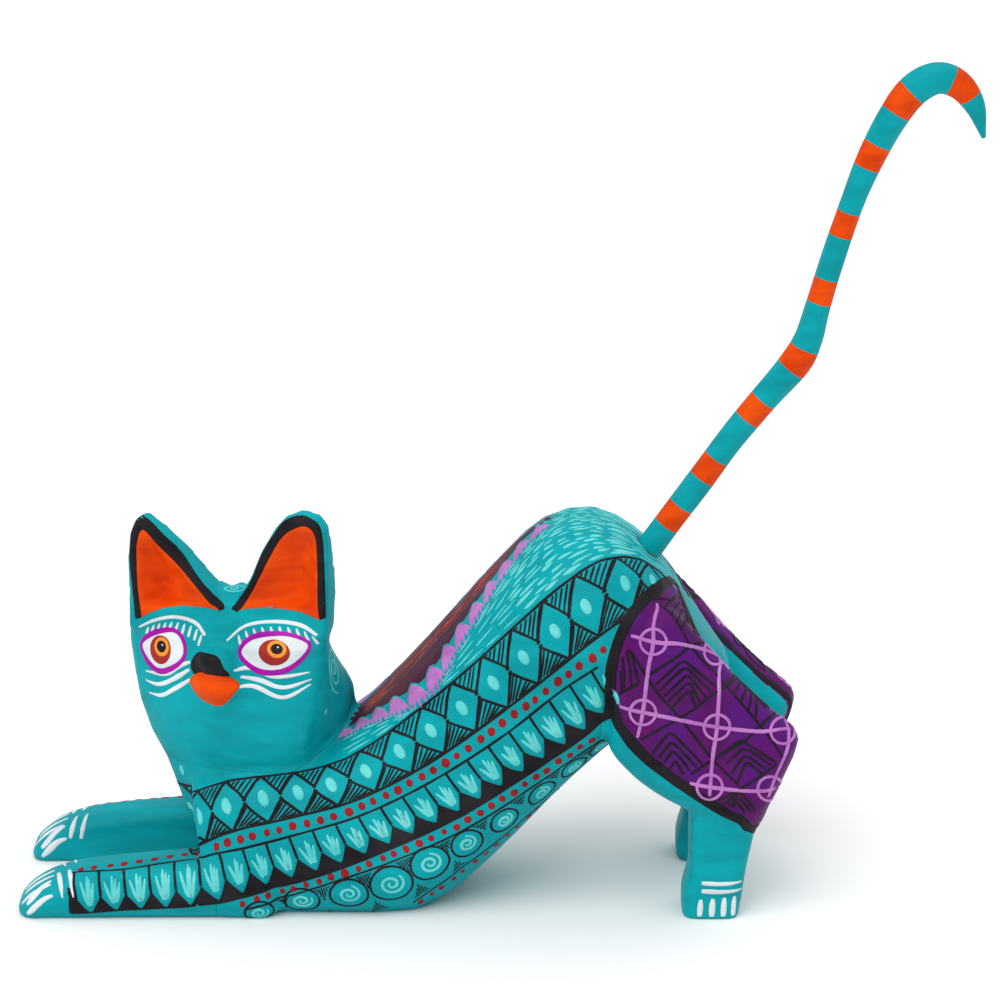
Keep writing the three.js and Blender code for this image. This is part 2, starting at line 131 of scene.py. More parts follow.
# ---- materials ----
def acrylic(name, base, deep, pale, streak=(60, 300, 300), rough=(0.4, 0.58), relief=0.12, mottle=None):
    """Brushed acrylic over carved wood: streaks, blotches, uneven sheen and a little relief."""
    material = bpy.data.materials.new(name)
    material.use_nodes = True
    nodes, links = material.node_tree.nodes, material.node_tree.links
    shader = nodes["Principled BSDF"]
    shader.inputs["Specular IOR Level"].default_value = 0.09
    where = nodes.new("ShaderNodeTexCoord").outputs["Object"]

    def noise(scale, detail, stretch=None):
        node = nodes.new("ShaderNodeTexNoise")
        node.inputs["Scale"].default_value = scale
        node.inputs["Detail"].default_value = detail
        source = where
        if stretch:
            mapping = nodes.new("ShaderNodeMapping")
            mapping.inputs["Scale"].default_value = stretch
            links.new(where, mapping.inputs["Vector"])
            source = mapping.outputs["Vector"]
        links.new(source, node.inputs["Vector"])
        return node.outputs["Fac"]

    def spread(value, low, high, to_low=0.0, to_high=1.0):
        node = nodes.new("ShaderNodeMapRange")
        node.inputs["From Min"].default_value = low
        node.inputs["From Max"].default_value = high
        node.inputs["To Min"].default_value = to_low
        node.inputs["To Max"].default_value = to_high
        links.new(value, node.inputs["Value"])
        return node.outputs["Result"]

    def mix(factor, first, second):
        node = nodes.new("ShaderNodeMix")
        node.data_type = "RGBA"
        links.new(factor, node.inputs["Factor"])
        for value, socket in ((first, node.inputs["A"]), (second, node.inputs["B"])):
            if isinstance(value, tuple):
                socket.default_value = value
            else:
                links.new(value, socket)
        return node.outputs["Result"]

    brushed = noise(1.0, 5.0, streak)
    blotched = noise(70.0, 3.0)
    colour = mix(spread(brushed, 0.35, 0.65), srgb(*deep), srgb(*base))
    colour = mix(spread(blotched, 0.5, 0.8, 0.0, 0.6), colour, srgb(*pale))
    if mottle:
        colour = mix(spread(noise(95.0, 2.0), 0.42, 0.62), colour, srgb(*mottle))
    links.new(colour, shader.inputs["Base Color"])
    links.new(spread(brushed, 0.3, 0.7, *rough), shader.inputs["Roughness"])
    bump = nodes.new("ShaderNodeBump")
    bump.inputs["Strength"].default_value = relief
    bump.inputs["Distance"].default_value = 0.0004
    fine = noise(1400.0, 2.0)
    total = nodes.new("ShaderNodeMath")
    total.operation = "MULTIPLY_ADD"
    total.inputs[1].default_value = 0.25
    links.new(fine, total.inputs[0])
    links.new(brushed, total.inputs[2])
    links.new(total.outputs[0], bump.inputs["Height"])
    links.new(bump.outputs["Normal"], shader.inputs["Normal"])
    return material


PAINTS = {
    "teal": acrylic("teal_paint", (0, 160, 169), (0, 143, 152), (4, 174, 182)),
    "bare": acrylic(
        "bare_wood", (196, 152, 98), (160, 116, 70), (214, 176, 124), (30, 700, 700), (0.6, 0.85), 0.4,
    ),
    "black": acrylic("black_paint", (34, 31, 35), (22, 20, 24), (58, 52, 58)),
    "plum": acrylic("plum_paint", (78, 34, 64), (56, 26, 50), (104, 44, 50), (60, 200, 200)),
    "purple": acrylic(
        "purple_paint", (94, 13, 102), (72, 14, 84), (122, 34, 120), (120, 160, 120), mottle=(82, 20, 114),
    ),
    "orange": acrylic("orange_paint", (232, 76, 0), (206, 57, 0), (242, 96, 4)),
    "light": acrylic("light_teal_paint", (112, 212, 210), (78, 196, 196), (140, 224, 220)),
    "red": acrylic("dark_red_paint", (160, 34, 40), (132, 22, 30), (178, 48, 52)),
    "white": acrylic("white_paint", (226, 232, 234), (200, 212, 216), (240, 243, 244)),
    "lilac": acrylic("lilac_paint", (190, 122, 196), (168, 98, 176), (206, 150, 210)),
    "magenta": acrylic("magenta_paint", (176, 14, 168), (150, 10, 150), (196, 60, 190)),
    "amber": acrylic("amber_paint", (255, 156, 52), (240, 136, 30), (255, 176, 84)),
    "copper": acrylic("copper_paint", (168, 50, 42), (146, 38, 36), (186, 66, 52)),
}
SKIN_PAINTS = ("teal", "bare", "black", "plum", "purple", "orange")


# ---- mesh helpers ----
def linked(name, mesh):
    made = bpy.data.objects.new(name, mesh)
    bpy.context.scene.collection.objects.link(made)
    return made


def modified(mesh, kind, **settings):
    """A mesh as one modifier leaves it."""
    carrier = linked("carrier", mesh)
    modifier = carrier.modifiers.new(kind, kind)
    for key, value in settings.items():
        setattr(modifier, key, value)
    graph = bpy.context.evaluated_depsgraph_get()
    made = bpy.data.meshes.new_from_object(carrier.evaluated_get(graph))
    bpy.data.objects.remove(carrier)
    return made


def boolean(mesh, cutter, operation):
    tool = linked("tool", cutter)
    made = modified(mesh, "BOOLEAN", operation=operation, solver="MANIFOLD", object=tool)
    bpy.data.objects.remove(tool)
    return made


def to_mesh(bm, name="shape"):
    mesh = bpy.data.meshes.new(name)
    bmesh.ops.recalc_face_normals(bm, faces=bm.faces)
    bm.to_mesh(mesh)
    bm.free()
    return mesh


def prism(outline, low, high, paint):
    """A side-view outline (x, z) drawn out from y = low to y = high, in one paint."""
    bm = bmesh.new()
    near = [bm.verts.new((x, low, z)) for x, z in outline]
    far = [bm.verts.new((x, high, z)) for x, z in outline]
    bm.faces.new(near)
    bm.faces.new(far[::-1])
    for i, corner in enumerate(near):
        after = (i + 1) % len(near)
        bm.faces.new((corner, far[i], far[after], near[after]))
    return cutting_tool(bm, paint)


def rod(start, end, radius, sides=40):
    start, end = Vector(start), Vector(end)
    turn = (end - start).to_track_quat("Z", "Y").to_matrix().to_4x4()
    bm = bmesh.new()
    bmesh.ops.create_cone(
        bm, cap_ends=True, segments=sides, radius1=radius, radius2=radius, depth=(end - start).length,
        matrix=Matrix.Translation((start + end) / 2) @ turn,
    )
    return cutting_tool(bm, "bare")


def cutting_tool(bm, paint):
    """A tool whose cut faces come out in one paint."""
    mesh = to_mesh(bm)
    for key in SKIN_PAINTS:
        mesh.materials.append(PAINTS[key])
    mesh.polygons.foreach_set("material_index", [SKIN_PAINTS.index(paint)] * len(mesh.polygons))
    return mesh


def corners(mesh):
    flat = np.empty(len(mesh.vertices) * 3)
    mesh.vertices.foreach_get("co", flat)
    return flat.reshape(-1, 3)


def catmull(points, per_span=8):
    """A smooth line through points, any number of values each."""
    points = np.array(points, float)
    padded = np.vstack([2 * points[0] - points[1], points, 2 * points[-1] - points[-2]])
    made = []
    for i in range(len(points) - 1):
        a, b, c, d = padded[i:i + 4]
        for t in np.arange(per_span) / per_span:
            straight = 2 * b + (c - a) * t
            bend = (2 * a - 5 * b + 4 * c - d) * t**2
            made.append(0.5 * (straight + bend + (3 * b - a - 3 * c + d) * t**3))
    made.append(points[-1])
    return np.array(made)


def reaches(points):
    """How far along a line each of its points is."""
    return np.concatenate([[0], np.cumsum(np.linalg.norm(np.diff(points, axis=0), axis=1))])


# ---- the carving ----
TAIL_AXIS = Vector((TAIL[1][0] - TAIL[0][0], 0, TAIL[1][1] - TAIL[0][1])).normalized()
TAIL_ROOT = Vector((TAIL[0][0], 0, TAIL[0][1]))


def rough_carving():
    """All the figure's pieces swollen a little and melted into one skin of small squares."""
    bm = bmesh.new()
    for node in frame["record"]["behaviour"]["bodies"]["figure"]:
        bm.from_mesh(frame["nodes"][node].data)
    bmesh.ops.transform(bm, matrix=TO_CARVING, verts=bm.verts)
    bmesh.ops.remove_doubles(bm, verts=bm.verts[:], dist=1e-3)
    bm.normal_update()
    for vertex in bm.verts:
        vertex.co += vertex.normal * SWELL
    bm.from_mesh(rod(TAIL_ROOT - TAIL_AXIS * (PEG_IN_RUMP + 1.5), TAIL_ROOT - TAIL_AXIS * 1.2, 2.6))
    mesh = bpy.data.meshes.new("rough")
    bm.to_mesh(mesh)
    bm.free()
    return largest(modified(mesh, "REMESH", mode="VOXEL", voxel_size=VOXEL))


def largest(mesh):
    """Drops every loose part but the largest."""
    bm = bmesh.new()
    bm.from_mesh(mesh)
    unseen, best = set(bm.verts), set()
    while unseen:
        island, edge = set(), [unseen.pop()]
        while edge:
            vertex = edge.pop()
            island.add(vertex)
            for link in vertex.link_edges:
                other = link.other_vert(vertex)
                if other in unseen:
                    unseen.discard(other)
                    edge.append(other)
        best = max(best, island, key=len)
    bmesh.ops.delete(bm, geom=[v for v in bm.verts if v not in best], context="VERTS")
    return to_mesh(bm, "skin")


def relaxed(points, edges, weight, rounds, push=-0.515):
    """Pulls each point in and pushes it back. With the usual push it smooths without shrinking."""
    ends = np.concatenate([edges, edges[:, ::-1]])
    count = np.maximum(np.bincount(ends[:, 0], minlength=len(points)), 1)[:, None]
    for _ in range(rounds):
        for pull in (0.5, push):
            sums = [np.bincount(ends[:, 0], points[ends[:, 1], k], len(points)) for k in range(3)]
            points = points + pull * weight[:, None] * (np.stack(sums, 1) / count - points)
    return points


def carving():
    mesh = rough_carving()
    points = corners(mesh)
    edges = np.empty(len(mesh.edges) * 2, int)
    mesh.edges.foreach_get("vertices", edges)
    normals = np.array([v.normal for v in mesh.vertices])
    points -= normals * SWELL
    inverse = np.array(HEAD.inverted())
    in_head = points @ inverse[:3, :3].T + inverse[:3, 3]
    ears = (in_head[:, 2] > 66.5) & (points[:, 0] < -20)
    snout = (in_head[:, 1] < -13) & (abs(in_head[:, 0] + 1) < 8) & (abs(in_head[:, 2] - 53) < 9)
    weight = np.where(ears, 0.6, np.where(snout, 0.5, 1.0))
    edges = edges.reshape(-1, 2)
    points = relaxed(points, edges, weight, 45)
    off = np.linalg.norm((in_head - TEMPLE) / TEMPLE_REACH, axis=1)
    melt = np.clip(1.6 * (1 - off), 0, 1)
    melted = edges[(melt[edges] > 0).any(axis=1)]
    points = relaxed(points, melted, melt, 90, 0)
    points[:, 2] = np.maximum(points[:, 2], 0)
    mesh.vertices.foreach_set("co", points.ravel())
    mesh.update()
    for key in SKIN_PAINTS:
        mesh.materials.append(PAINTS[key])
    return mesh


class Skin:
    """The carving's surface, to put paint on. The head and the rest are found apart."""

    def __init__(self, mesh):
        self.mesh = mesh
        points = [v.co.copy() for v in mesh.vertices]
        faces = [tuple(p.vertices) for p in mesh.polygons]
        middles = np.array([tuple(p.center) for p in mesh.polygons])
        on_head = inside(middles[:, [0, 2]], NECK_SAW)
        self.paint = np.zeros(len(faces), int)
        self.trees = {}
        for part, chosen in (("head", on_head), ("body", ~on_head)):
            self.trees[part] = BVHTree.FromPolygons(points, [faces[i] for i in np.flatnonzero(chosen)])

    def nearest(self, point, part="body"):
        """The closest place on the surface, and which way it faces."""
        return self.trees[part].find_nearest(point)[:2]

    def hit(self, start, direction, reach=80, part="body"):
        return self.trees[part].ray_cast(start, direction, reach)[0]


def inside(points, outline):
    """Which of the points (x, z) lie in a closed outline."""
    found = np.zeros(len(points), bool)
    outline = list(outline)
    for (x0, z0), (x1, z1) in zip(outline, outline[1:] + outline[:1]):
        crosses = (z0 > points[:, 1]) != (z1 > points[:, 1])
        at = x0 + (points[:, 1] - z0) * (x1 - x0) / (z1 - z0 if z1 != z0 else 1e-9)
        found ^= crosses & (points[:, 0] < at)
    return found


SKIN = Skin(carving())


def trunk_spot(along, angle, side):
    """Where a line from the trunk's centre comes out. Angle 0 is the spine, 180 the belly."""
    k = min(int(along), len(TRUNK) - 2)
    share = along - k
    back = Vector(TRUNK[k][0]).lerp(Vector(TRUNK[k + 1][0]), share)
    belly = Vector(TRUNK[k][1]).lerp(Vector(TRUNK[k + 1][1]), share)
    up = (back - belly).normalized()
    turn = math.radians(angle)
    direction = Vector((up.x * math.cos(turn), side * math.sin(turn), up.y * math.cos(turn)))
    centre = (back + belly) / 2
    start = Vector((centre.x, 0, centre.y))
    return SKIN.hit(start, direction) or start + direction * 20


def leg_spot(x, angle, side):
    """Where a line from a front leg's axis comes out. Angle 0 is up, 90 the leg's outer side."""
    turn = math.radians(angle)
    start = Vector((x, side * LEG_SIDE, LEG_Z))
    return SKIN.hit(start, Vector((0, side * math.sin(turn), math.cos(turn))), 12) or start


def side_spot(x, z, side):
    """The point of the outer side over (x, z)."""
    start = Vector((x, side * 40, z))
    return SKIN.hit(start, Vector((0, -side, 0)), 60) or SKIN.nearest((x, side * 20, z))[0]


def thigh_spot(x, z, side):
    """The point of a thigh's outside, over (x, z) on its outer face, as seen from a little above.

    Where that looks past the thigh, it is the thigh's edge.
    """
    slope = math.tan(BROWSE_TILT)
    least = THIGH_EDGE if x > PANEL_CREST else 2
    for drop in np.arange(0, 14, 0.4):
        start = Vector((x, side * 40, z - drop + (40 - THIGH_OUTER) * slope))
        place = SKIN.hit(start, Vector((0, -side, -slope)).normalized(), 60)
        if place and place.y * side >= least:
            return place
    return SKIN.nearest((x, side * 17, z - 2))[0]


def face_spot(x, z):
    """The point of the face or ears in front of (x, z) in the head frame."""
    start = HEAD @ Vector((x, -40, z))
    place = SKIN.hit(start, HEAD.to_3x3() @ Vector((0, 1, 0)), 60, "head")
    return place or SKIN.nearest(HEAD @ Vector((x, -9, z)), "head")[0]


def cheek_spot(y, z):
    """The point of the head's left side over (y, z) in the head frame."""
    start = HEAD @ Vector((45, y, z))
    place = SKIN.hit(start, HEAD.to_3x3() @ Vector((-1, 0, 0)), 60, "head")
    return place or SKIN.nearest(HEAD @ Vector((21, y, z)), "head")[0]


# ---- the brush ----
def filling(rim, cell):
    """Points spaced evenly inside a rim, clear of it."""
    flat = np.array(rim)
    low, high = flat.min(0), flat.max(0)
    across, along = (np.arange(low[k] + cell / 2, high[k], cell) for k in (0, 1))
    grid = np.array([(a, b) for a in across for b in along]).reshape(-1, 2)
    grid = grid[inside(grid, rim)]
    apart = np.array([np.min(np.linalg.norm(flat - point, axis=1)) for point in grid])
    return grid[apart > 0.45 * cell]


class Film:
    """All the strokes of one colour on one piece, as one mesh of thin closed blobs of paint."""

    def __init__(self, part):
        self.points, self.faces = [], []
        self.tree = "head" if part == "head" else "body"

    def lay(self, point, lift):
        place, normal = SKIN.nearest(point, self.tree)
        self.points.append(place + normal * lift)

    def stroke(self, line, widths, lift=0.07, wobble=0.07):
        """A stroke along a line on the skin; widths are spaced evenly along it."""
        line = np.array([tuple(p) for p in line], float)
        along = reaches(line)
        count = max(3, int(along[-1] / STEP) + 2)
        stops = np.linspace(0, along[-1], count)
        path = np.stack([np.interp(stops, along, line[:, k]) for k in range(3)], 1)
        share = np.linspace(0, 1, count)
        widths = np.interp(share, np.linspace(0, 1, len(widths)), widths) * unsteady(along[-1], share, wobble)
        across = max(4, int(widths.max() / 0.6) + 2)
        profile = [-1] + [-0.8 + 1.6 * k / (across - 2) for k in range(across - 1)] + [1]
        first = len(self.points)
        for i, (point, width) in enumerate(zip(path, widths)):
            place, normal = SKIN.nearest(point, self.tree)
            ahead = Vector(path[min(i + 1, count - 1)] - path[max(i - 1, 0)])
            sideways = ahead.cross(normal).normalized() * (width / 2)
            ends = i in (0, count - 1)
            for k, step in enumerate(profile):
                rim = ends or k in (0, len(profile) - 1)
                self.lay(place + sideways * step, -EDGE_DEPTH if rim else lift)
        self.skin_over(first, count, len(profile))

    def skin_over(self, first, rings, size):
        for i in range(rings - 1):
            a = first + i * size
            for k in range(size):
                b = (k + 1) % size
                self.faces.append((a + k, a + b, a + size + b, a + size + k))
        self.faces.append(tuple(first + k for k in range(size))[::-1])
        last = first + (rings - 1) * size
        self.faces.append(tuple(last + k for k in range(size)))

    def patch(self, place, outline, lift=0.07, cell=0.62):
        """A filled shape. Its outline is in the two coordinates, in mm, that place takes."""
        looped = list(outline) + [outline[0]]
        sides = max(6, int(reaches(np.array(looped))[-1] / cell))
        rim = resampled(looped, sides + 1)[:-1]
        grid = filling(rim, cell)
        spots = [Vector(p) for p in rim] + [Vector(tuple(p)) for p in grid]
        made = delaunay_2d_cdt(spots, [], [list(range(len(rim)))], 1, 1e-6)
        spots, triangles, origins = made[0], made[2], made[3]
        rim_of = [bool(o) and min(o) < len(rim) for o in origins]
        first, count = len(self.points), len(spots)
        places = [place(p.x, p.y) for p in spots]
        for top in (True, False):
            for spot, edge in zip(places, rim_of):
                self.lay(spot, (lift - RIM_DROP if edge else lift) if top else -EDGE_DEPTH - 0.07)
        borders = {}
        for a, b, c in triangles:
            self.faces.append((first + a, first + b, first + c))
            self.faces.append((first + count + c, first + count + b, first + count + a))
            for edge in ((a, b), (b, c), (c, a)):
                borders[edge] = borders.get(edge, 0) + 1
        for a, b in borders:
            if (b, a) not in borders:
                self.faces.append((first + b, first + a, first + count + a, first + count + b))

    def made(self, name, paint, slot):
        mesh = bpy.data.meshes.new(name)
        mesh.from_pydata([tuple(p) for p in self.points], [], self.faces)
        bm = bmesh.new()
        bm.from_mesh(mesh)
        bmesh.ops.recalc_face_normals(bm, faces=bm.faces)
        bm.to_mesh(mesh)
        bm.free()
        mesh.transform(TO_ROW)
        mesh.materials.append(PAINTS[paint])
        mesh.shade_smooth()
        piece = linked(name, mesh)
        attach(piece, "figure")
        return piece


FILMS = {}


def film(part, paint):
    return FILMS.setdefault((part, paint), Film(part))


def unsteady(length, share, amount):
    """How a brush line's width wavers along it."""
    count = max(2, int(length / 2.2) + 1)
    waves = [1 + amount * 2 * (HAND.random() - 0.5) for _ in range(count + 1)]
    return np.interp(share, np.linspace(0, 1, count + 1), waves)


def through(spots, per_span=6):
    return [Vector(p) for p in catmull([tuple(p) for p in spots], per_span)]


def oval(a, b, half_a, half_b, turn=0.0, points=16, rough=0.03):
    """A hand-drawn oval."""
    made = []
    for k in range(points):
        angle = 2 * math.pi * k / points
        grow = 1 + rough * 2 * (HAND.random() - 0.5)
        u, v = half_a * math.cos(angle) * grow, half_b * math.sin(angle) * grow
        across = a + u * math.cos(turn) - v * math.sin(turn)
        made.append((across, b + u * math.sin(turn) + v * math.cos(turn)))
    return made


def spiral(a, b, half_a, half_b, turns=2.2, start=0.0, points=40, shear=0.0):
    made = []
    for k in range(points):
        share = k / (points - 1)
        angle = start + 2 * math.pi * turns * share
        u, v = half_a * share * math.cos(angle), half_b * share * math.sin(angle)
        made.append((a + u + shear * v, b + v))
    return made


def along_place(place, outline):
    return [place(a, b) for a, b in outline]


def around(centre, ahead):
    """A place function for a small shape: mm along and mm across from a point of the skin."""
    normal = SKIN.nearest(centre)[1]
    along = (ahead - centre).normalized()
    across = normal.cross(along).normalized()
    return lambda a, b: SKIN.nearest(centre + along * a + across * b)[0]


class Band:
    """A belt of skin between two edge lines.

    A place on it is s mm along its middle and v of the way from one edge to the other.
    """

    def __init__(self, knots, marks=None):
        self.edges = [catmull([tuple(knot[e]) for knot in knots]) for e in (0, 1)]
        middle = [tuple(SKIN.nearest(p)[0]) for p in (self.edges[0] + self.edges[1]) / 2]
        self.along = reaches(np.array(middle))
        self.length = self.along[-1]
        self.marks = marks

    def mark(self, value):
        """How far along the band a place is, given as the value of its knots."""
        return np.interp(value, self.marks, self.along[::8])

    def edge(self, s, e):
        return np.array([np.interp(s, self.along, self.edges[e][:, k]) for k in range(3)])

    def width(self, s):
        return np.linalg.norm(self.edge(s, 0) - self.edge(s, 1))

    def at(self, s, v):
        point = self.edge(s, 0) * (1 - v) + self.edge(s, 1) * v
        return SKIN.nearest(point)[0]

    def spread(self, wide):
        """A place function in mm: along the band, and across it on a band of the given width."""
        return lambda s, b: self.at(s, b / wide)

    def line(self, s0, v0, s1, v1):
        steps = max(2, int(abs(s1 - s0) / STEP) + int(abs(v1 - v0) * self.width((s0 + s1) / 2) / STEP))
        return [self.at(s0 + (s1 - s0) * k / steps, v0 + (v1 - v0) * k / steps) for k in range(steps + 1)]

    def fill(self, paint_film, v0=0.0, v1=1.0, s0=None, s1=None, lift=0.05):
        """A ribbon of paint along the band."""
        s0, s1 = s0 or 0.0, s1 or self.length
        wide = max(self.width(s) for s in np.linspace(s0, s1, 12))
        stops = np.linspace(s0, s1, int((s1 - s0) / 0.8) + 2)
        outline = [(s, v0 * wide) for s in stops] + [(s, v1 * wide) for s in stops[::-1]]
        paint_film.patch(self.spread(wide), outline, lift, 0.8)


# Band edges: (place along the trunk, angle of the upper edge, angle of the lower edge).
DIAMONDS = (
    (0.1, 47, 81), (1, 46, 74), (2, 43, 67), (3, 38, 61), (4, 43, 69), (5, 49, 78), (6, 51, 83),
    (7, 50, 83), (8, 42, 75), (9, 30, 58), (9.8, 23, 46),
)
HATCH_LINES = 6
DIAMOND_AT = (0.25, 0.86, 1.49, 2.06, 2.64, 3.22, 3.76, 4.25, 4.72, 5.25, 5.81, 6.56, 7.37, 8.37, 9.22)
PETALS = (
    (0.35, 88, 113), (1, 85, 111), (2, 76, 102), (3, 69, 92), (4, 78, 103), (5, 89, 116),
    (6, 94, 125), (6.8, 96, 124), (7.1, 96, 123),
)
PETAL_PITCH, PETAL_START = 5.25, 1.2
LEG_SEAM = -61.5  # x of the joint between a front leg and the chest
CIRCLES = (
    (0.8, 118, 146), (1.5, 114, 142), (2.2, 106, 136), (3, 99, 128), (4, 111, 132), (5, 125, 146),
    (6, 135, 152), (6.4, 138, 154),
)
CIRCLE_SPOTS = (  # place along the trunk, angle, radius
    (1.05, 121, 3.2), (1.66, 118, 3.7), (2.31, 115, 4.0), (2.90, 112, 4.5), (3.44, 114, 4.2),
    (3.93, 119, 3.5), (4.46, 127, 3.2), (5.02, 135, 3.3), (5.63, 140, 3.1), (6.2, 144, 2.8),
)
LAST_DOTS = ((3, 129, 137), (3.6, 130, 137), (4, 133, 140), (4.6, 141, 148), (5.2, 151, 158))
LEG_PETALS = (
    (-89.6, 31, 121), (-87.2, 32, 121), (-83.2, 34, 118), (-79, 34, 114), (-74.8, 30, 112),
    (-70.7, 25, 110), (-66.6, 21, 108), (-63, 18, 104),
)
LEG_DOTS = ((-89, 22), (-85, 21), (-79, 17), (-72, 8), (-66, -2), (-62.5, 4))
SPINE_STRIPE = (  # place along the trunk, angle of its middle, half its width
    (2.9, 0, 10), (3.4, 0, 13), (3.75, 0, 19), (4.1, 0, 25), (4.5, 0, 28), (5, 0, 20), (5.5, -3, 15),
    (6, -6, 9), (6.5, -9, 6), (7, -10, 4), (7.3, -10, 2),
)
LEAF_TIPS = (
    (2.9, 22), (3.4, 28), (3.75, 36), (4.1, 43), (4.5, 47), (5, 38), (5.5, 30), (6, 21),
    (6.5, 15), (7, 9), (7.3, 2),
)
FUR_END = ((8, 0), (9, 0), (9.6, 0), (10.3, 0))
FAR_LEG_TURN = 14


def trunk_knots(table, side):
    return [(trunk_spot(u, top, side), trunk_spot(u, low, side)) for u, top, low in table]


def chest_front(top, low, side):
    """Knots across the front of the chest, from the middle to one side."""
    return [
        (SKIN.nearest((-66, side * y, top))[0], SKIN.nearest((-65, side * y, low))[0]) for y in (0, 6, 12)
    ]


def at_marks(table, column, marks):
    return np.interp(marks, [row[0] for row in table], [row[column] for row in table])


def dotted(band, paint_film, pitch, radius, start=1.5):
    """A row of dots, each a touch of a round brush."""
    for k in range(int((band.length - start) / pitch) + 1):
        s = start + k * pitch + HAND.uniform(-0.3, 0.3)
        size = radius * HAND.uniform(0.82, 1.15)
        wide = max(band.width(s), 1.5)
        middle = wide * (0.5 + HAND.uniform(-0.06, 0.06))
        shape = oval(s, middle, size * HAND.uniform(0.82, 1.0), size * HAND.uniform(1.0, 1.15), 0, 14, 0.05)
        paint_film.patch(band.spread(wide), shape, 0.09, 0.5)


def diamonds(side):
    black, light = film("torso", "black"), film("torso", "light")
    front = chest_front(24.4, 12.6, side)
    marks = [-0.6, -0.4, -0.15] + [row[0] for row in DIAMONDS]
    band = Band(front + trunk_knots(DIAMONDS, side), marks)
    centres = [band.mark(-0.42)] + [band.mark(u) for u in DIAMOND_AT]
    for i, s in enumerate(centres):
        before = (s - centres[i - 1]) if i else centres[1] - s
        after = (centres[i + 1] - s) if i + 1 < len(centres) else before
        here = [(s, 0.0), (s + after * 0.56, 0.5), (s + 0.2, 1.0), (s - before * 0.56, 0.5)]
        for (s0, v0), (s1, v1) in zip(here, here[1:] + here[:1]):
            if 0 < s0 < band.length and 0 < s1 < band.length:
                black.stroke(band.line(s0, v0, s1, v1), (0.66, 0.7, 0.6, 0.7), 0.07, 0.16)
        wide = band.width(s)
        size = min(1, before / 6.5)
        blob = oval(s, wide * 0.5, 1.05 * size, 1.75 * size, -0.25, 18, 0.02)
        light.patch(band.spread(wide), blob, 0.09, 0.6)
        if i + 1 < len(centres):
            hatch(band, black, s, after)
    for v in (0.0, 1.0):
        black.stroke(band.line(0, v, band.length, v), (0.7, 0.58, 0.7, 0.62, 0.68), 0.08, 0.2)


def hatch(band, ink, s, pitch):
    """Fine lines in the triangles above and below, between this diamond and the next."""
    for k in range(1, HATCH_LINES + 1):
        t = k / (HATCH_LINES + 0.5) + HAND.uniform(-0.02, 0.02)
        above = band.line(s + pitch * t, 0.02, s + pitch * 0.5 * t, 0.5 * t)
        ink.stroke(above, (0.38, 0.52, 0.48, 0.36), 0.06, 0.14)
        below = band.line(s + pitch * (0.5 + 0.5 * t), 0.5 + 0.5 * t, s + pitch * 0.62 * t, 0.98)
        ink.stroke(below, (0.38, 0.52, 0.48, 0.38), 0.06, 0.14)


def side_name(piece, side):
    return piece + ("_left" if side < 0 else "_right")


def petals(side):
    extra = FAR_LEG_TURN if side > 0 else 0
    leg = [(leg_spot(x, top + extra, side), leg_spot(x, low, side)) for x, top, low in LEG_PETALS]
    band = Band(leg + trunk_knots(PETALS, side), [row[0] for row in LEG_PETALS + PETALS])
    seam = band.mark(LEG_SEAM)
    leg_name = side_name("front_leg", side)
    for low, high, part in ((0, seam, leg_name), (seam, band.length, "torso")):
        ink = film(part, "black")
        band.fill(ink, 0.42, 1.0, low, high, 0.05)
        for v in (0.0, 1.0):
            ink.stroke(band.line(low, v, high, v), (0.56, 0.48, 0.56, 0.5), 0.09, 0.2)
    count = int((band.length - PETAL_START) / PETAL_PITCH) + 1
    for i in range(count):
        s = PETAL_START + i * PETAL_PITCH
        on_leg = s + PETAL_PITCH < seam + 2
        petal(band, s, leg_name if on_leg else "torso", np.interp(s, (seam - 6, seam + 12), (0.9, 0.8)))


def petal(band, s, part, tip):
    """One teal petal: straight sided from the band's upper edge, ending in a leaning point."""
    wide, lean, pitch = band.width(s + 2), 0.8, PETAL_PITCH
    shape = [
        (0.05, 0.03), (0.97, 0.03), (1.0, 0.35 * tip), (0.98, 0.66 * tip), (0.78, 0.88 * tip),
        (0.57, 1.08 * tip), (0.52, 1.08 * tip), (0.28, 0.88 * tip), (0.05, 0.66 * tip), (0.03, 0.3 * tip),
    ]
    shape = [(s + a * pitch + lean * v + HAND.uniform(-0.1, 0.1), v * wide) for a, v in shape]
    film(part, "teal").patch(band.spread(wide), shape, 0.09)
    ink = film(part, "black")
    ink.stroke(band.line(s, 0.0, s + lean * 0.66, 0.66 * tip), (0.6, 0.66, 0.6), 0.12, 0.15)
    light = film(part, "light")
    for a, v, thick in ((0.5, 0.16, 1.0), (0.2, 0.3, 0.85), (0.8, 0.32, 0.85), (0.64, 0.24, 0.7)):
        a += HAND.uniform(-0.04, 0.04)
        start = (s + a * pitch + lean * v, v * tip)
        end = (s + (0.54 + (a - 0.5) * 0.1) * pitch + lean * tip, tip * HAND.uniform(0.88, 0.93))
        light.stroke(band.line(*start, *end), (0.15, thick * 0.8, thick, thick * 1.15, thick * 0.8), 0.13)


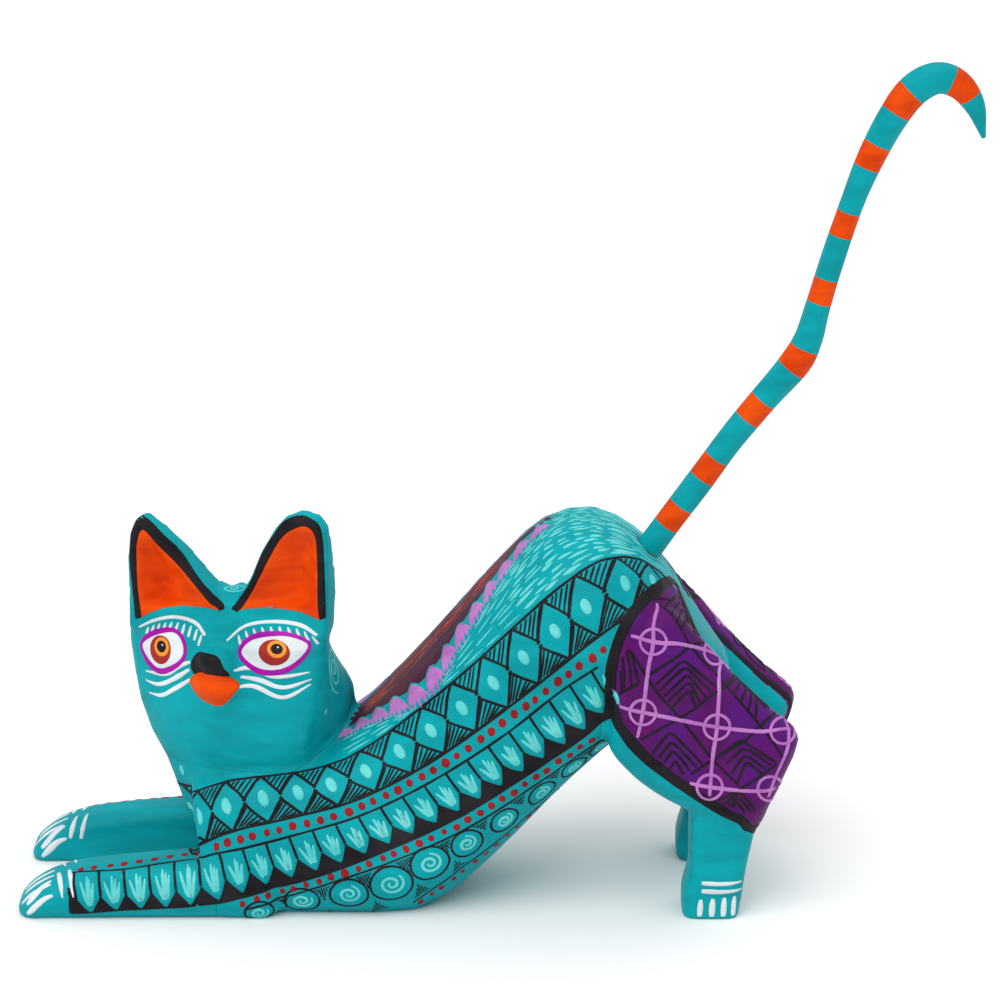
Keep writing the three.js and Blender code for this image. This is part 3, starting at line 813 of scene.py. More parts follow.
def circles(side):
    band = Band(trunk_knots(CIRCLES, side), [row[0] for row in CIRCLES])
    black, light = film("torso", "black"), film("torso", "light")
    spots = [u for u, _, _ in CIRCLE_SPOTS]
    for u, angle, radius in CIRCLE_SPOTS:
        centre = trunk_spot(u, angle, side)
        place = around(centre, trunk_spot(u + 0.12, angle, side))
        outline = along_place(place, oval(0, 0, radius, radius * 0.97, 0, 28, 0.012))
        black.stroke(outline + outline[:2], (0.5, 0.58, 0.48, 0.55), 0.08, 0.15)
        curl = along_place(place, spiral(0, 0, radius * 0.62, radius * 0.58, 2.1, HAND.uniform(0, 1)))
        light.stroke(curl, (0.55, 0.75, 0.72, 0.7, 0.4), 0.09)
    for before, after in zip(spots, spots[1:]):
        middle = band.mark((before + after) / 2)
        for k in range(-3, 4):
            at, reach = middle + k * 0.52, 0.36 - abs(k) * 0.085
            for v, way in ((0.02, 1), (0.97, -1)):
                if way > 0 or at < band.mark(3.9):
                    black.stroke(band.line(at, v, at + 0.1, v + way * reach), (0.3, 0.4, 0.26), 0.06, 0.12)
    black.stroke(band.line(0, 0, band.length, 0), (0.5, 0.44, 0.52, 0.46), 0.08, 0.2)
    low = Band([(trunk_spot(u, a, side), trunk_spot(u, a + 5, side)) for u, a, _ in LAST_DOTS])
    black.stroke(low.line(0, 0, low.length, 0), (0.5, 0.42, 0.5), 0.08, 0.2)


def stripe_edge(u, side):
    middle, half = at_marks(SPINE_STRIPE, 1, u), at_marks(SPINE_STRIPE, 2, u)
    return half - side * middle if side > 0 else middle + half


def spine_stripe():
    band = Band([[trunk_spot(u, stripe_edge(u, side), side) for side in (-1, 1)] for u, _, _ in SPINE_STRIPE])
    band.fill(film("torso", "plum"), -0.06, 1.06)
    for paint, count, spread in (("orange", 22, 0.07), ("copper", 34, 0.13), ("black", 16, 0.2)):
        for _ in range(count):
            s = HAND.uniform(1, band.length * 0.66)
            v = 0.5 + HAND.gauss(0, spread)
            long = HAND.uniform(5, 12)
            line = band.line(s, v, s + long, v + HAND.uniform(-0.1, 0.1))
            film("torso", paint).stroke(line, (0.06, 0.3, 0.26, 0.05), 0.08)


LEAF = (  # a pointed leaf torn into four prongs: along its width and across the belt
    (0.0, 0.0), (0.16, 0.12), (0.34, 0.34), (0.46, 0.6), (0.5, 0.9), (0.36, 0.66), (0.24, 0.94),
    (0.12, 0.62), (-0.06, 1.0), (-0.14, 0.62), (-0.34, 0.96), (-0.36, 0.68), (-0.52, 0.84), (-0.44, 0.5),
    (-0.3, 0.28), (-0.14, 0.1),
)
LEAF_RIM = (
    (0.0, -0.09), (0.2, 0.04), (0.42, 0.28), (0.56, 0.58), (0.56, 0.9), (-0.58, 0.86), (-0.52, 0.46),
    (-0.38, 0.22), (-0.18, 0.02),
)
LEAF_LEAN = -0.2  # each leaf's tip leans towards the neck by this share of its width


def leaves(side):
    tips = dict(LEAF_TIPS)
    knots = []
    for u, _, _ in SPINE_STRIPE:
        edge = stripe_edge(u, side)
        knots.append((trunk_spot(u, edge, side), trunk_spot(u, max(tips[u], edge + 5), side)))
    band = Band(knots)
    lilac, teal = film("torso", "lilac"), film("torso", "teal")
    s = 1.6
    while s < band.length - 1.5:
        wide = band.width(s)
        pitch = min(5.4, 1.6 + wide * 0.6)
        for outline, paint_film, lift in ((LEAF_RIM, teal, 0.08), (LEAF, lilac, 0.12)):
            shape = [
                (s + (a + LEAF_LEAN * (1 - v)) * pitch * 0.98 + HAND.uniform(-0.08, 0.08), v * wide)
                for a, v in outline
            ]
            paint_film.patch(band.spread(wide), shape, lift, 0.5)
        s += pitch


def fur(side):
    knots = []
    for u, tip in LEAF_TIPS + FUR_END:
        low = at_marks(DIAMONDS, 1, u) - 2
        top = min(max(tip - 5, 0), low - 4)
        knots.append((trunk_spot(u, top, side), trunk_spot(u, max(low, 6), side)))
    band = Band(knots)
    light = film("torso", "light")
    rows = 13
    for row in range(rows):
        s = HAND.uniform(0, 3)
        while s < band.length - 2:
            tight = band.width(s) / rows
            bold = 0.75 + 0.5 * row / rows
            long = HAND.uniform(2.4, 4.8) * bold + (1.5 if tight < 1.2 else 0.0)
            if tight > 0.95 or (tight > 0.6 and row % 2 == 0) or row % 3 == 0:
                v = (row + 0.5) / rows + HAND.uniform(-0.02, 0.02)
                wide = HAND.uniform(0.5, 0.9) * bold if tight > 0.95 else HAND.uniform(0.36, 0.56)
                line = band.line(s, v, min(s + long, band.length), v + HAND.uniform(-0.02, 0.015))
                light.stroke(line, (0.15, wide * 0.9, wide, wide * 0.6, 0.12), 0.07)
            s += long + HAND.uniform(0.4, 1.2)


def flank(side):
    diamonds(side)
    petals(side)
    circles(side)
    red = film("torso", "red")
    marks = [0.35, 1, 2, 3, 4, 5, 6, 6.8, 7.5]
    knots = [(m, at_marks(DIAMONDS, 2, m), at_marks(PETALS, 1, m)) for m in marks]
    dotted(Band(trunk_knots(knots, side)), red, 2.9, 0.92, 0.6)
    marks = [0.7, 1.5, 2.2, 3, 4, 5, 6, 6.35]
    knots = [(m, at_marks(PETALS, 2, m), at_marks(CIRCLES, 1, m)) for m in marks]
    dotted(Band(trunk_knots(knots, side)), red, 2.8, 0.84, 0.8)
    dotted(Band(trunk_knots(LAST_DOTS, side)), red, 2.9, 0.76)
    extra = FAR_LEG_TURN if side > 0 else 0
    leg = Band([(leg_spot(x, a + extra - 8, side), leg_spot(x, a + extra + 8, side)) for x, a in LEG_DOTS])
    dotted(leg, film(side_name("front_leg", side), "red"), 3.15, 0.84)
    for y, z, tall in ((7.4, 27.9, 1.3), (11.5, 20.5, 1.5)):
        centre = SKIN.nearest((-66.5, side * y, z))[0]
        place = around(centre, centre + Vector((0, side, 0)))
        film("torso", "light").patch(place, oval(0, 0, 0.8, tall, 0, 14), 0.09)
    leaves(side)
    fur(side)


# ---- paws ----
TOES = (((-92.7, 5.6), (-95.1, 4.5), (-97.6, 2.0), (-98.5, 1.0)), ((-93.2, 7.8), (-95.6, 6.2), (-98.6, 2.9)))


def toe_top_spot(x, across, side):
    start = Vector((x, side * (LEG_SIDE + across), 20))
    return SKIN.hit(start, Vector((0, 0, -1)), 25) or SKIN.nearest((x, side * (LEG_SIDE + across), 2))[0]


def toe_side_spot(x, z, side, way):
    start = Vector((x, side * LEG_SIDE, z))
    return SKIN.hit(start, Vector((0, way * side, 0)), 12) or SKIN.nearest(start)[0]


def paws(side):
    white = film(side_name("front_leg", side), "white")
    for across, back in ((-3.9, -93.6), (-1.3, -92.8), (1.4, -92.7), (4.0, -93.2)):
        steps = (0, 0.2, 0.4, 0.6, 0.8, 1)
        line = [toe_top_spot(back - 6.6 * t, across * (1 - 0.12 * t), side) for t in steps]
        white.stroke(line, (0.4, 0.9, 1.2, 1.1, 0.5), 0.09)
    for way in (-1, 1):
        for toe in TOES:
            line = [toe_side_spot(x, z, side, way) for x, z in catmull(toe, 4)]
            white.stroke(line, (0.5, 1.2, 1.6, 1.5, 0.7), 0.09)
    for x, width in ((-92.2, 1.2), (-89.9, 1.15)):
        for low, high in ((-88, -22), (8, 92)):
            line = [leg_spot(x + 1.4 * t, low + (high - low) * t, side) for t in np.linspace(0, 1, 8)]
            white.stroke(line, (0.7, width, width * 0.8, 0.2), 0.09)
    white = film(side_name("hind_leg", side), "white")
    shift = 0 if side < 0 else RIGHT_HAUNCH_SHIFT[0]
    for z in (8.0, 6.2):
        line = [side_spot(x + shift, z + 0.3 * abs(x - 45.5) / 5, side) for x in np.linspace(41.6, 50.4, 8)]
        white.stroke(line, (0.9, 1.15, 0.95, 0.8, 0.2), 0.09)
    for x in (41.5, 44.0, 46.4, 48.5):
        tall = 4.3 + (x - 41) * 0.09
        line = [side_spot(x + shift + 0.25 * t, 0.4 + tall * t, side) for t in (0, 0.25, 0.5, 0.75, 1)]
        white.stroke(line, (0.9, 1.35, 1.3, 0.6), 0.09)


# ---- thighs: places are (x, z) on the outer face of the left one ----
PANEL_FRONT = (
    (37.5, 73.5), (35.8, 74.5), (33.6, 73.9), (30.9, 72.2), (28.4, 69.6), (26.4, 67.0), (24.3, 62.3),
    (22.9, 57.0), (22.5, 51.6), (23.1, 46.3), (25.1, 42.3), (29.4, 37), (33.8, 33.2), (38, 30),
    (42.2, 27), (46.4, 24.2), (50.1, 22.2), (53.6, 20.8),
)
PANEL_BEYOND = ((80, 10), (80, 90), (37, 90))  # behind the cat, to close the panel's outline
BELLY_BELOW = 54.0  # below this the trunk stays teal
PANEL_EDGE = (  # its edge inside the thigh: (x, distance from the middle, z)
    (37.4, 2.5, 67), (38.6, 6, 65.4), (40.4, 9.4, 62), (43, 11, 58.4), (46.6, 11.5, 54.2), (50, 11.5, 50.6),
    (53, 11.5, 47.6), (56, 11.5, 44.8), (60.2, 11.8, 41), (61.4, 12.4, 38), (60.4, 12.8, 34.4),
    (58.4, 13, 29.6), (56, 13.4, 24.8), (53.8, 14, 21.4),
)
NET_KNOTS = (
    (31.2, 61.7), (44.3, 59.4), (29.2, 46.4), (44.4, 43.2), (58.1, 42.2), (43.1, 30.0), (55.6, 29.6),
)
NET_LINES = (
    ((32.1, 70.0), (31.2, 61.7), (30.2, 55.9), (29.2, 46.4), (28.1, 40.7)),
    ((44.9, 59.6), (44.7, 53.6), (44.4, 43.2), (43.6, 36.4), (43.1, 27.8)),
    ((58.6, 44.4), (58.9, 38.1), (56.6, 32.1), (55.2, 27.4)),
    ((26.5, 63.0), (31.2, 61.7), (37.7, 61.0), (44.9, 58.4)),
    ((24.3, 47.8), (29.2, 46.4), (38.8, 44.3), (44.4, 43.2), (52.9, 42.2), (60.0, 42.4)),
    ((38.8, 30.9), (43.1, 30.0), (50, 29.2), (57, 29.9)),
)
LATTICE = (
    ((32.5, 70.0), (38.9, 60.8), (45.1, 53.6), (53.3, 43.5), (58.2, 36.2)),
    ((26.0, 60.2), (28.6, 56.3), (32.5, 50.1), (36.8, 45.2), (43.2, 36.6), (49.2, 30.2)),
    ((30.3, 54.5), (38.9, 60.8), (41.8, 63.8)),
    ((28.6, 40.3), (36.8, 45.2), (40.3, 47.6), (43.8, 50.6), (48.8, 54.8)),
    ((38.9, 32.6), (43.0, 35.6), (50.0, 40.1), (53.3, 43.5), (56.8, 47.2)),
    ((44.6, 26.8), (50.0, 30.0), (57.0, 35.2)),
    ((24.1, 50.1), (28.6, 53.1)),
)
CHEVRONS = (  # the outermost and innermost line of each nest, as left foot, peak, right foot; how many
    (((31.5, 52.1), (37.3, 57.6), (44.4, 51.8)), ((35.0, 47.3), (38.9, 51.2), (39.9, 47.3)), 5),
    (((31.1, 37.3), (34.8, 41.8), (41.6, 34.9)), ((34.8, 33.9), (35.8, 35.8), (37.9, 32.6)), 4),
    (((44.9, 36.9), (49.4, 40.1), (56.8, 35.4)), ((48.6, 30.9), (50.6, 35.2), (53.9, 33.0)), 4),
    (((45.7, 26.2), (49.4, 28.7), (52.9, 24.7)), ((47.7, 25.3), (48.8, 26.6), (50.6, 24.0)), 3),
    (((33.6, 69.0), (36.6, 71.4), (41.2, 64.6)), ((36.8, 64.0), (38.4, 66.6), (40.1, 63.2)), 4),
    (((46.2, 52.6), (49.2, 54.6), (55.6, 47.4)), ((52.2, 44.6), (53.0, 49.2), (54.8, 46.8)), 5),
)
TICKS = (
    ((25.0, 58.6), (25.4, 51.4)), ((25.8, 60.0), (26.9, 52.0)), ((26.6, 59.6), (28.3, 53.0)),
    ((24.6, 55.6), (24.9, 50.6)),
)


def haunch_shift(side):
    return (0, 0) if side < 0 else RIGHT_HAUNCH_SHIFT


def stain_thigh(side):
    """Turns the skin inside the panel purple: the outside of the thigh and its worn top and back edge."""
    dx, dz = haunch_shift(side)
    centres, normals = np.empty((2, len(SKIN.mesh.polygons) * 3))
    SKIN.mesh.polygons.foreach_get("center", centres)
    SKIN.mesh.polygons.foreach_get("normal", normals)
    x, y, z = centres.reshape(-1, 3).T
    nx, ny, nz = normals.reshape(-1, 3).T
    outline = [(a + dx, b + dz) for a, b in PANEL_FRONT] + list(PANEL_BEYOND)
    seen_z = z + (THIGH_OUTER - abs(y)) * math.tan(BROWSE_TILT)
    panel = inside(np.stack([x, seen_z], 1), outline) & (y * side > 0)
    edge_x, edge_y = zip(*[(a + dx, b) for a, b, _ in PANEL_EDGE[:5]])
    panel &= (abs(y) > np.interp(x, edge_x, edge_y)) & ((ny * side > -0.05) | (nx + nz > 0.1))
    panel &= (z > BELLY_BELOW) | (abs(y) > THIGH_EDGE - 1.6)
    SKIN.paint[panel] = SKIN_PAINTS.index("purple")


def thigh(side):
    stain_thigh(side)
    dx, dz = haunch_shift(side)
    name = side_name("hind_leg", side)
    black, lilac = film(name, "black"), film(name, "lilac")

    def on_thigh(line):
        return [thigh_spot(a + dx, b + dz, side) for a, b in line]

    border = through(on_thigh(PANEL_FRONT), 5)
    black.stroke(border, (1.6, 2.6, 2.7, 2.5, 2.3, 2.6, 2.8, 2.7, 2.5, 2.6, 2.7, 2.4), 0.14, 0.05)
    edge = [SKIN.nearest((a + dx, side * b, c + dz))[0] for a, b, c in PANEL_EDGE]
    black.stroke(through(edge, 5), (1.9, 1.7, 1.5, 1.7, 1.5, 1.6, 1.6, 1.5, 1.8, 2.2), 0.14, 0.05)
    for line in NET_LINES:
        lilac.stroke(through(on_thigh(line)), (0.75, 0.95, 0.85, 0.9, 0.7), 0.17)
    for a, b in NET_KNOTS:
        loop = on_thigh(oval(a, b, 2.65, 2.75, 0, 28, 0.012))
        lilac.stroke(loop + loop[:2], (0.6, 0.72, 0.62, 0.7), 0.18)
    for line in LATTICE + TICKS:
        black.stroke(through(on_thigh(line), 5), (0.5, 0.64, 0.54, 0.62, 0.46), 0.13, 0.16)
    for nest in CHEVRONS:
        for line in chevrons(*nest):
            black.stroke(through(on_thigh(line), 5), (0.44, 0.64, 0.56, 0.64, 0.4), 0.14, 0.16)


def chevrons(outermost, innermost, nested):
    """The lines of one nest, from the outermost in, each bent through its peak."""
    for k in range(nested):
        t = k / (nested - 1)
        left, peak, right = [
            ((1 - t) * p[0] + t * q[0], (1 - t) * p[1] + t * q[1]) for p, q in zip(outermost, innermost)
        ]
        line = [left, shoulder(peak, left), peak, shoulder(peak, right), right]
        yield [(a + HAND.uniform(-0.12, 0.12), b + HAND.uniform(-0.12, 0.12)) for a, b in line]


def shoulder(peak, foot):
    return peak[0] + 0.3 * (foot[0] - peak[0]), peak[1] + 0.25 * (foot[1] - peak[1])


# ---- head ----
EARS = {
    "right": {
        "rim": (
            (-19.6, 62.5), (-19.8, 68.1), (-20, 75.5), (-19.4, 80.6), (-18.2, 83.6), (-16, 84.8),
            (-11.8, 80.9), (-8.5, 77.6), (-4.9, 72.1), (-1.3, 68), (0.2, 66.8), (0.6, 65.9),
        ),
        "inner": (
            (-18.3, 62.9), (-18.6, 69), (-18.4, 75.3), (-17.9, 79.4), (-16.4, 82.1), (-13.5, 79),
            (-8.7, 74.2), (-3.3, 67.4), (-1.4, 66.2), (-0.4, 65.6),
        ),
        "brow": ((-4.5, 66.0), (-9, 66.0), (-13.4, 65.2), (-16.5, 64.0)),
    },
    "left": {
        "rim": (
            (2.0, 65.9), (2.8, 67), (6.5, 72), (9.2, 77.9), (12.7, 83), (14.8, 85.4), (18.4, 86.8),
            (21.4, 85.8), (22.7, 83.7), (22.9, 78.6), (22.6, 70.9), (22.2, 64.9),
        ),
        "inner": (
            (3.0, 65.6), (4.2, 66.2), (7.1, 70.5), (11.2, 77.6), (14.2, 82), (17.4, 84.1), (19.8, 84.4),
            (21.4, 82), (21.3, 74.3), (20.9, 68.2), (21.1, 64.6),
        ),
        "brow": ((17.5, 66.0), (13.1, 66.5), (9, 66.5), (5.3, 66.2)),
    },
}
EYES = {
    "right": {
        "rim": (
            (-19.2, 56.6), (-16, 59.6), (-11.5, 60.9), (-9.2, 59.8), (-8.3, 56.9), (-9.7, 54.1),
            (-13.9, 51.7), (-17, 52.5),
        ),
        "iris": (-14.3, 56.3, 2.5, 3.2, -0.3),
        "ring": (-13.9, 57.0, 1.75, 2.1, -0.3),
        "pupil": (-13.9, 57.1, 1.1, 1.3, -0.3),
        "brow": ((-19.4, 60.5), (-15.4, 62.5), (-10.5, 63.6), (-5.8, 62.8), (-3.6, 60.2)),
        "lashes": (-0.9, 9),
    },
    "left": {
        "rim": (
            (3.8, 57), (6.4, 60.4), (12, 61.4), (16.2, 60.6), (18.2, 58.6), (15.9, 55.2), (12.2, 53.1),
            (7.4, 53.4),
        ),
        "iris": (11.0, 57.3, 3.2, 2.8, 0),
        "ring": (11.6, 58.0, 2.0, 1.9, 0),
        "pupil": (11.6, 58.1, 1.25, 1.15, 0),
        "brow": ((0.9, 59.4), (5.2, 62.8), (11.2, 63.8), (17, 63.2), (20.6, 61.0)),
        "lashes": (0.6, 9),
    },
}
WHISKERS = (
    ((-7.1, 54.6), (-9.9, 53.4), (-13.3, 51.2), (-18.8, 51.0)),
    ((-7.4, 53), (-11.8, 50.2), (-15.5, 48.6), (-19.0, 49.0)),
    ((-7.1, 51), (-11.5, 48.2), (-14.9, 46.3), (-18.4, 46.3)),
    ((2.5, 53.4), (6.3, 54.0), (10.9, 52), (17.8, 52.6)),
    ((3.6, 52.1), (7.7, 51.4), (12.3, 49.6), (18.0, 51.0)),
    ((3.7, 50.2), (7, 49.9), (12.2, 47.4), (17.8, 50.0)),
)
MOUTH = (
    (-7.5, 50.6), (-5.5, 52.4), (-2.0, 53.2), (1.6, 52.4), (3.8, 50.8), (2.6, 48.7), (-0.3, 46),
    (-3.0, 46), (-5.6, 47.6),
)
NOSE = (
    (-7.2, 53.6), (-6.0, 56.2), (-3.4, 57.5), (0.2, 57.2), (1.5, 54.6), (1.6, 51.4), (-2.0, 52.4),
    (-5.6, 51.4),
)


def closed(outline, per_span=5):
    """A smooth closed outline."""
    looped = list(outline[-2:]) + list(outline) + list(outline[:3])
    dense = catmull(looped, per_span)
    return [tuple(p) for p in dense[2 * per_span:(len(outline) + 2) * per_span]]


def resampled(line, count):
    line = np.array(line)
    along = reaches(line)
    stops = np.linspace(0, along[-1], count)
    return [(np.interp(s, along, line[:, 0]), np.interp(s, along, line[:, 1])) for s in stops]


def crown_spot(x, y):
    """The place on top of the head, between the ears, in the head's own axes."""
    return SKIN.nearest(HEAD @ Vector((x, y, 70)), "head")[0]


def ears():
    for which in EARS.values():
        rim, inner = list(catmull(which["rim"], 4)), list(catmull(which["inner"], 4))
        film("head", "orange").patch(face_spot, inner + list(which["brow"]), 0.11, 0.36)
        film("head", "black").patch(face_spot, rim + inner[::-1], 0.11, 0.5)
        pairs = zip(resampled(rim, 40), resampled(inner, 40))
        middle = [((a[0] + b[0]) / 2, (a[1] + b[1]) / 2) for a, b in pairs]
        line = along_place(face_spot, middle)
        film("head", "black").stroke(line, (1.6, 1.3, 1.5, 1.6, 1.4, 1.3, 1.8), 0.16)


def eye(which):
    rim = closed(which["rim"])
    white, magenta = film("head", "white"), film("head", "magenta")
    white.patch(face_spot, rim, 0.07, 0.45)
    outline = along_place(face_spot, rim + rim[:2])
    magenta.stroke(outline, (0.9, 1.4, 1.1, 0.9, 1.4, 1.5, 0.9), 0.13, 0.04)
    for paint, key, lift in (("copper", "iris", 0.14), ("amber", "ring", 0.21), ("black", "pupil", 0.28)):
        x, z, a, b, turn = which[key]
        film("head", paint).patch(face_spot, oval(x, z, a, b, turn, 28, 0.01), lift, 0.3)
    x, z = which["pupil"][:2]
    white.patch(face_spot, oval(x + 0.3, z + 0.4, 0.22, 0.22, 0, 10, 0), 0.33, 0.2)
    brow = catmull(which["brow"], 6)
    white.stroke(along_place(face_spot, brow), (0.4, 0.7, 0.75, 0.8, 0.95, 0.8), 0.08)
    lean, count = which["lashes"]
    for x, z in resampled(brow, count + 4)[2:-1]:
        reach = 1.9 + 0.25 * HAND.random() + (0.7 if abs(x - which["iris"][0]) > 6 else 0)
        lash = [face_spot(x + lean * t, z - 0.8 - reach * t) for t in (0, 0.35, 0.7, 1)]
        white.stroke(lash, (0.25, 0.6, 0.75, 0.5), 0.08)


def head():
    ears()
    for which in EYES.values():
        eye(which)
    for line in WHISKERS:
        whisker = along_place(face_spot, catmull(line, 6))
        film("head", "white").stroke(whisker, (0.6, 1.15, 1.0, 0.9, 0.2), 0.08)
    film("head", "black").patch(face_spot, closed(NOSE), 0.1, 0.45)
    film("head", "orange").patch(face_spot, closed(MOUTH), 0.24, 0.45)
    light = film("head", "light")
    curl = along_place(cheek_spot, spiral(-0.6, 50.4, 2.7, 6.1, 2.6, 1.2, 54, -0.33))
    light.stroke(curl, (0.35, 0.42, 0.4, 0.25), 0.07)
    light.patch(cheek_spot, oval(-2.6, 41.6, 0.5, 0.8), 0.08)
    curl = along_place(crown_spot, spiral(1.0, -7.0, 2.7, 2.2, 2.2, 0.5, 30))
    light.stroke(curl, (0.35, 0.42, 0.4, 0.25), 0.07)


# ---- the tail ----
def tail_rings():
    """Smooth centre line with radius, and how far along each point is."""
    line = catmull([(x, z, r) for x, z, r in TAIL], 12)
    return line, reaches(line[:, :2])


def tail():
    line, along = tail_rings()
    halves = (-TAIL_BAND_LONG / 2, TAIL_BAND_LONG / 2)
    cuts = [0.0] + [middle + half for middle in TAIL_BANDS for half in halves]
    stops = sorted(set(np.round(np.concatenate([np.arange(0, along[-1], 0.55), cuts, [along[-1]]]), 3)))
    stops = [s for i, s in enumerate(stops) if i == 0 or s - stops[i - 1] > 0.05 or s in cuts]
    sides = 28
    bm = bmesh.new()
    rings = []
    for s in stops:
        x, z, r = (np.interp(s, along, line[:, k]) for k in range(3))
        x0, z0 = (np.interp(s - 0.8, along, line[:, k]) for k in (0, 1))
        x1, z1 = (np.interp(s + 0.8, along, line[:, k]) for k in (0, 1))
        ahead = Vector((x1 - x0, 0, z1 - z0)).normalized() if s > 0.8 else TAIL_AXIS
        out = Vector((ahead.z, 0, -ahead.x))
        ring_now = []
        for k in range(sides):
            turn = 2 * math.pi * k / sides
            wave = 0.022 * math.cos(7 * turn + 0.9 * math.sin(s / 9))
            facet = 1 - wave - 0.012 * math.sin(s / 3.1 + 2 * turn)
            way = out * math.cos(turn) + Vector((0, 1, 0)) * math.sin(turn)
            spot = Vector((x, 0, z)) + way * r * facet
            ring_now.append(bm.verts.new(spot))
        rings.append(ring_now)
    for i, (low, high) in enumerate(zip(rings, rings[1:])):
        middle = (stops[i] + stops[i + 1]) / 2
        orange = min(abs(middle - band) for band in TAIL_BANDS) < TAIL_BAND_LONG / 2
        for k in range(sides):
            face = bm.faces.new((low[k], low[(k + 1) % sides], high[(k + 1) % sides], high[k]))
            face.material_index = SKIN_PAINTS.index("orange") if orange else 0
    bm.faces.new(rings[0][::-1]).material_index = SKIN_PAINTS.index("bare")
    bm.faces.new(rings[-1])
    mesh = to_mesh(bm, "tail")
    for key in SKIN_PAINTS:
        mesh.materials.append(PAINTS[key])
    bore = rod(TAIL_ROOT - TAIL_AXIS, TAIL_ROOT + TAIL_AXIS * (PEG_IN_TAIL + BORE_PLAY), PEG_R + BORE_PLAY)
    return boolean(mesh, bore, "DIFFERENCE")


# ---- sawing the carving into its pieces ----
def saw(outline, grow, low, high, paint="teal"):
    """A saw prism whose outline is moved outwards from its own middle by grow."""
    centre = np.mean(outline, axis=0)
    moved = [(x + grow * np.sign(x - centre[0]), z + grow * np.sign(z - centre[1])) for x, z in outline]
    return prism(moved, low, high, paint)


def bored(mesh, *dowels):
    for name in dowels:
        start, end, radius = DOWELS[name]
        along = (Vector(end) - Vector(start)).normalized() * BORE_PLAY
        bore = rod(Vector(start) - along, Vector(end) + along, radius + BORE_PLAY)
        mesh = boolean(mesh, bore, "DIFFERENCE")
    return mesh


def sides_of(side, inner, far=60):
    return (inner, far) if side > 0 else (-far, -inner)


def pieces(skin):
    made = {"head": bored(boolean(skin, saw(NECK_SAW, -HAIRLINE, -60, 60), "INTERSECT"), "neck_dowel")}
    rest = boolean(skin, saw(NECK_SAW, HAIRLINE, -60, 60), "DIFFERENCE")
    for side, name in ((-1, "left"), (1, "right")):
        low, high = sides_of(side, LEG_INNER + HAIRLINE)
        leg = boolean(rest, saw(FRONT_LEG_SAW, -HAIRLINE, low, high, "bare"), "INTERSECT")
        made["front_leg_" + name] = bored(leg, "front_leg_dowel_" + name)
        low, high = sides_of(side, HAUNCH_INNER + HAIRLINE)
        hind = boolean(rest, saw(HAUNCH_SAW, -HAIRLINE, low, high), "INTERSECT")
        made["hind_leg_" + name] = bored(hind, "hind_leg_dowel_" + name)
        low, high = sides_of(side, LEG_INNER - HAIRLINE)
        rest = boolean(rest, saw(FRONT_LEG_SAW, HAIRLINE, low, high, "bare"), "DIFFERENCE")
        low, high = sides_of(side, HAUNCH_INNER - HAIRLINE)
        rest = boolean(rest, saw(HAUNCH_SAW, HAIRLINE, low, high), "DIFFERENCE")
    rest = bored(rest, *DOWELS)
    socket = rod(TAIL_ROOT + TAIL_AXIS * SOCKET_FLOOR, TAIL_ROOT + TAIL_AXIS * 6, SOCKET_R)
    bore = rod(TAIL_ROOT - TAIL_AXIS * (PEG_IN_RUMP + 0.3), TAIL_ROOT, PEG_R + BORE_PLAY)
    made["torso"] = boolean(boolean(rest, socket, "DIFFERENCE"), bore, "DIFFERENCE")
    return made


def finished(name, mesh, body, slot):
    mesh.transform(TO_ROW)
    mesh.shade_smooth()
    mesh.set_sharp_from_angle(angle=math.radians(48))
    piece = linked("carved_" + name, mesh)
    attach(piece, body)
    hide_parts(name)
    return piece


SLOTS = {
    "torso": "body_paint", "head": "head_paint", "front_leg_left": "front_leg_paint",
    "front_leg_right": "front_leg_paint", "hind_leg_left": "hind_leg_paint",
    "hind_leg_right": "hind_leg_paint", "tail": "tail_paint",
}

spine_stripe()
for which_side in (-1, 1):
    flank(which_side)
    paws(which_side)
    thigh(which_side)
head()

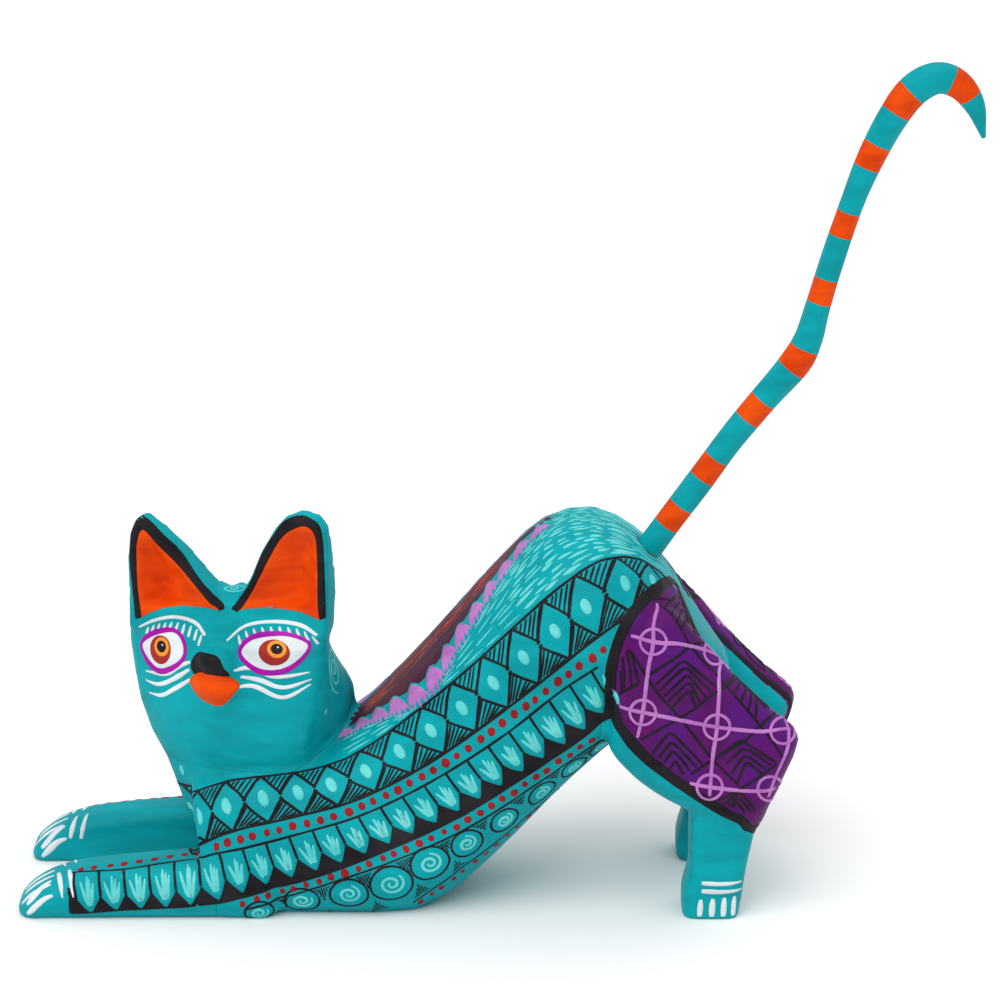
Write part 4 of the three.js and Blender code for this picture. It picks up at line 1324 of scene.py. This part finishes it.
SKIN.mesh.polygons.foreach_set("material_index", SKIN.paint)
for piece_name, piece_mesh in pieces(SKIN.mesh).items():
    finished(piece_name, piece_mesh, "figure", SLOTS[piece_name])
finished("tail", tail(), "tail", SLOTS["tail"])
for (part, paint), painted in FILMS.items():
    painted.made(f"{part}_{paint}_strokes", paint, SLOTS[part])

for node in list(DOWELS) + ["tail_peg"]:
    dowel = frame["nodes"][node]
    for slot in dowel.material_slots:
        slot.link = "OBJECT"
        slot.material = PAINTS["bare"]


# ---- studio ----
def plain(name, colour, roughness):
    material = bpy.data.materials.new(name)
    material.use_nodes = True
    shader = material.node_tree.nodes["Principled BSDF"]
    shader.inputs["Base Color"].default_value = colour
    shader.inputs["Roughness"].default_value = roughness
    return material


def floor():
    bm = bmesh.new()
    bmesh.ops.create_grid(bm, x_segments=1, y_segments=1, size=3)
    ground = linked("floor", to_mesh(bm, "floor"))
    ground.data.materials.append(plain("pale_floor", (0.96, 0.96, 0.96, 1), 0.8))


def soft_light(name, place, softness, strength):
    lamp = bpy.data.lights.new(name, "SUN")
    lamp.angle = softness
    lamp.energy = strength
    light = bpy.data.objects.new(name, lamp)
    light.rotation_euler = Vector(place).to_track_quat("Z", "Y").to_euler()
    bpy.context.scene.collection.objects.link(light)


def studio():
    world = bpy.data.worlds.new("studio")
    world.use_nodes = True
    world.node_tree.nodes["Background"].inputs["Color"].default_value = (1, 1, 1, 1)
    world.node_tree.nodes["Background"].inputs["Strength"].default_value = 0.57
    bpy.context.scene.world = world
    soft_light("key", (-0.7, -1.0, 1.5), 0.9, 1.45)
    soft_light("top", (0.5, 0.2, 1.5), 1.3, 0.95)
    bpy.context.scene.view_settings.view_transform = "Standard"


def camera():
    lens = bpy.data.cameras.new("camera")
    lens.sensor_width = 36
    lens.lens = 156.7
    aim = Vector((SHIFT * MM, 0, 0.0849))
    tilt = math.radians(18)
    away = Vector((0, -math.cos(tilt), math.sin(tilt)))
    viewer = bpy.data.objects.new("camera", lens)
    viewer.location = aim + away * 0.9
    viewer.rotation_euler = (-away).to_track_quat("-Z", "Y").to_euler()
    bpy.context.scene.collection.objects.link(viewer)
    bpy.context.scene.camera = viewer


floor()
studio()
camera()
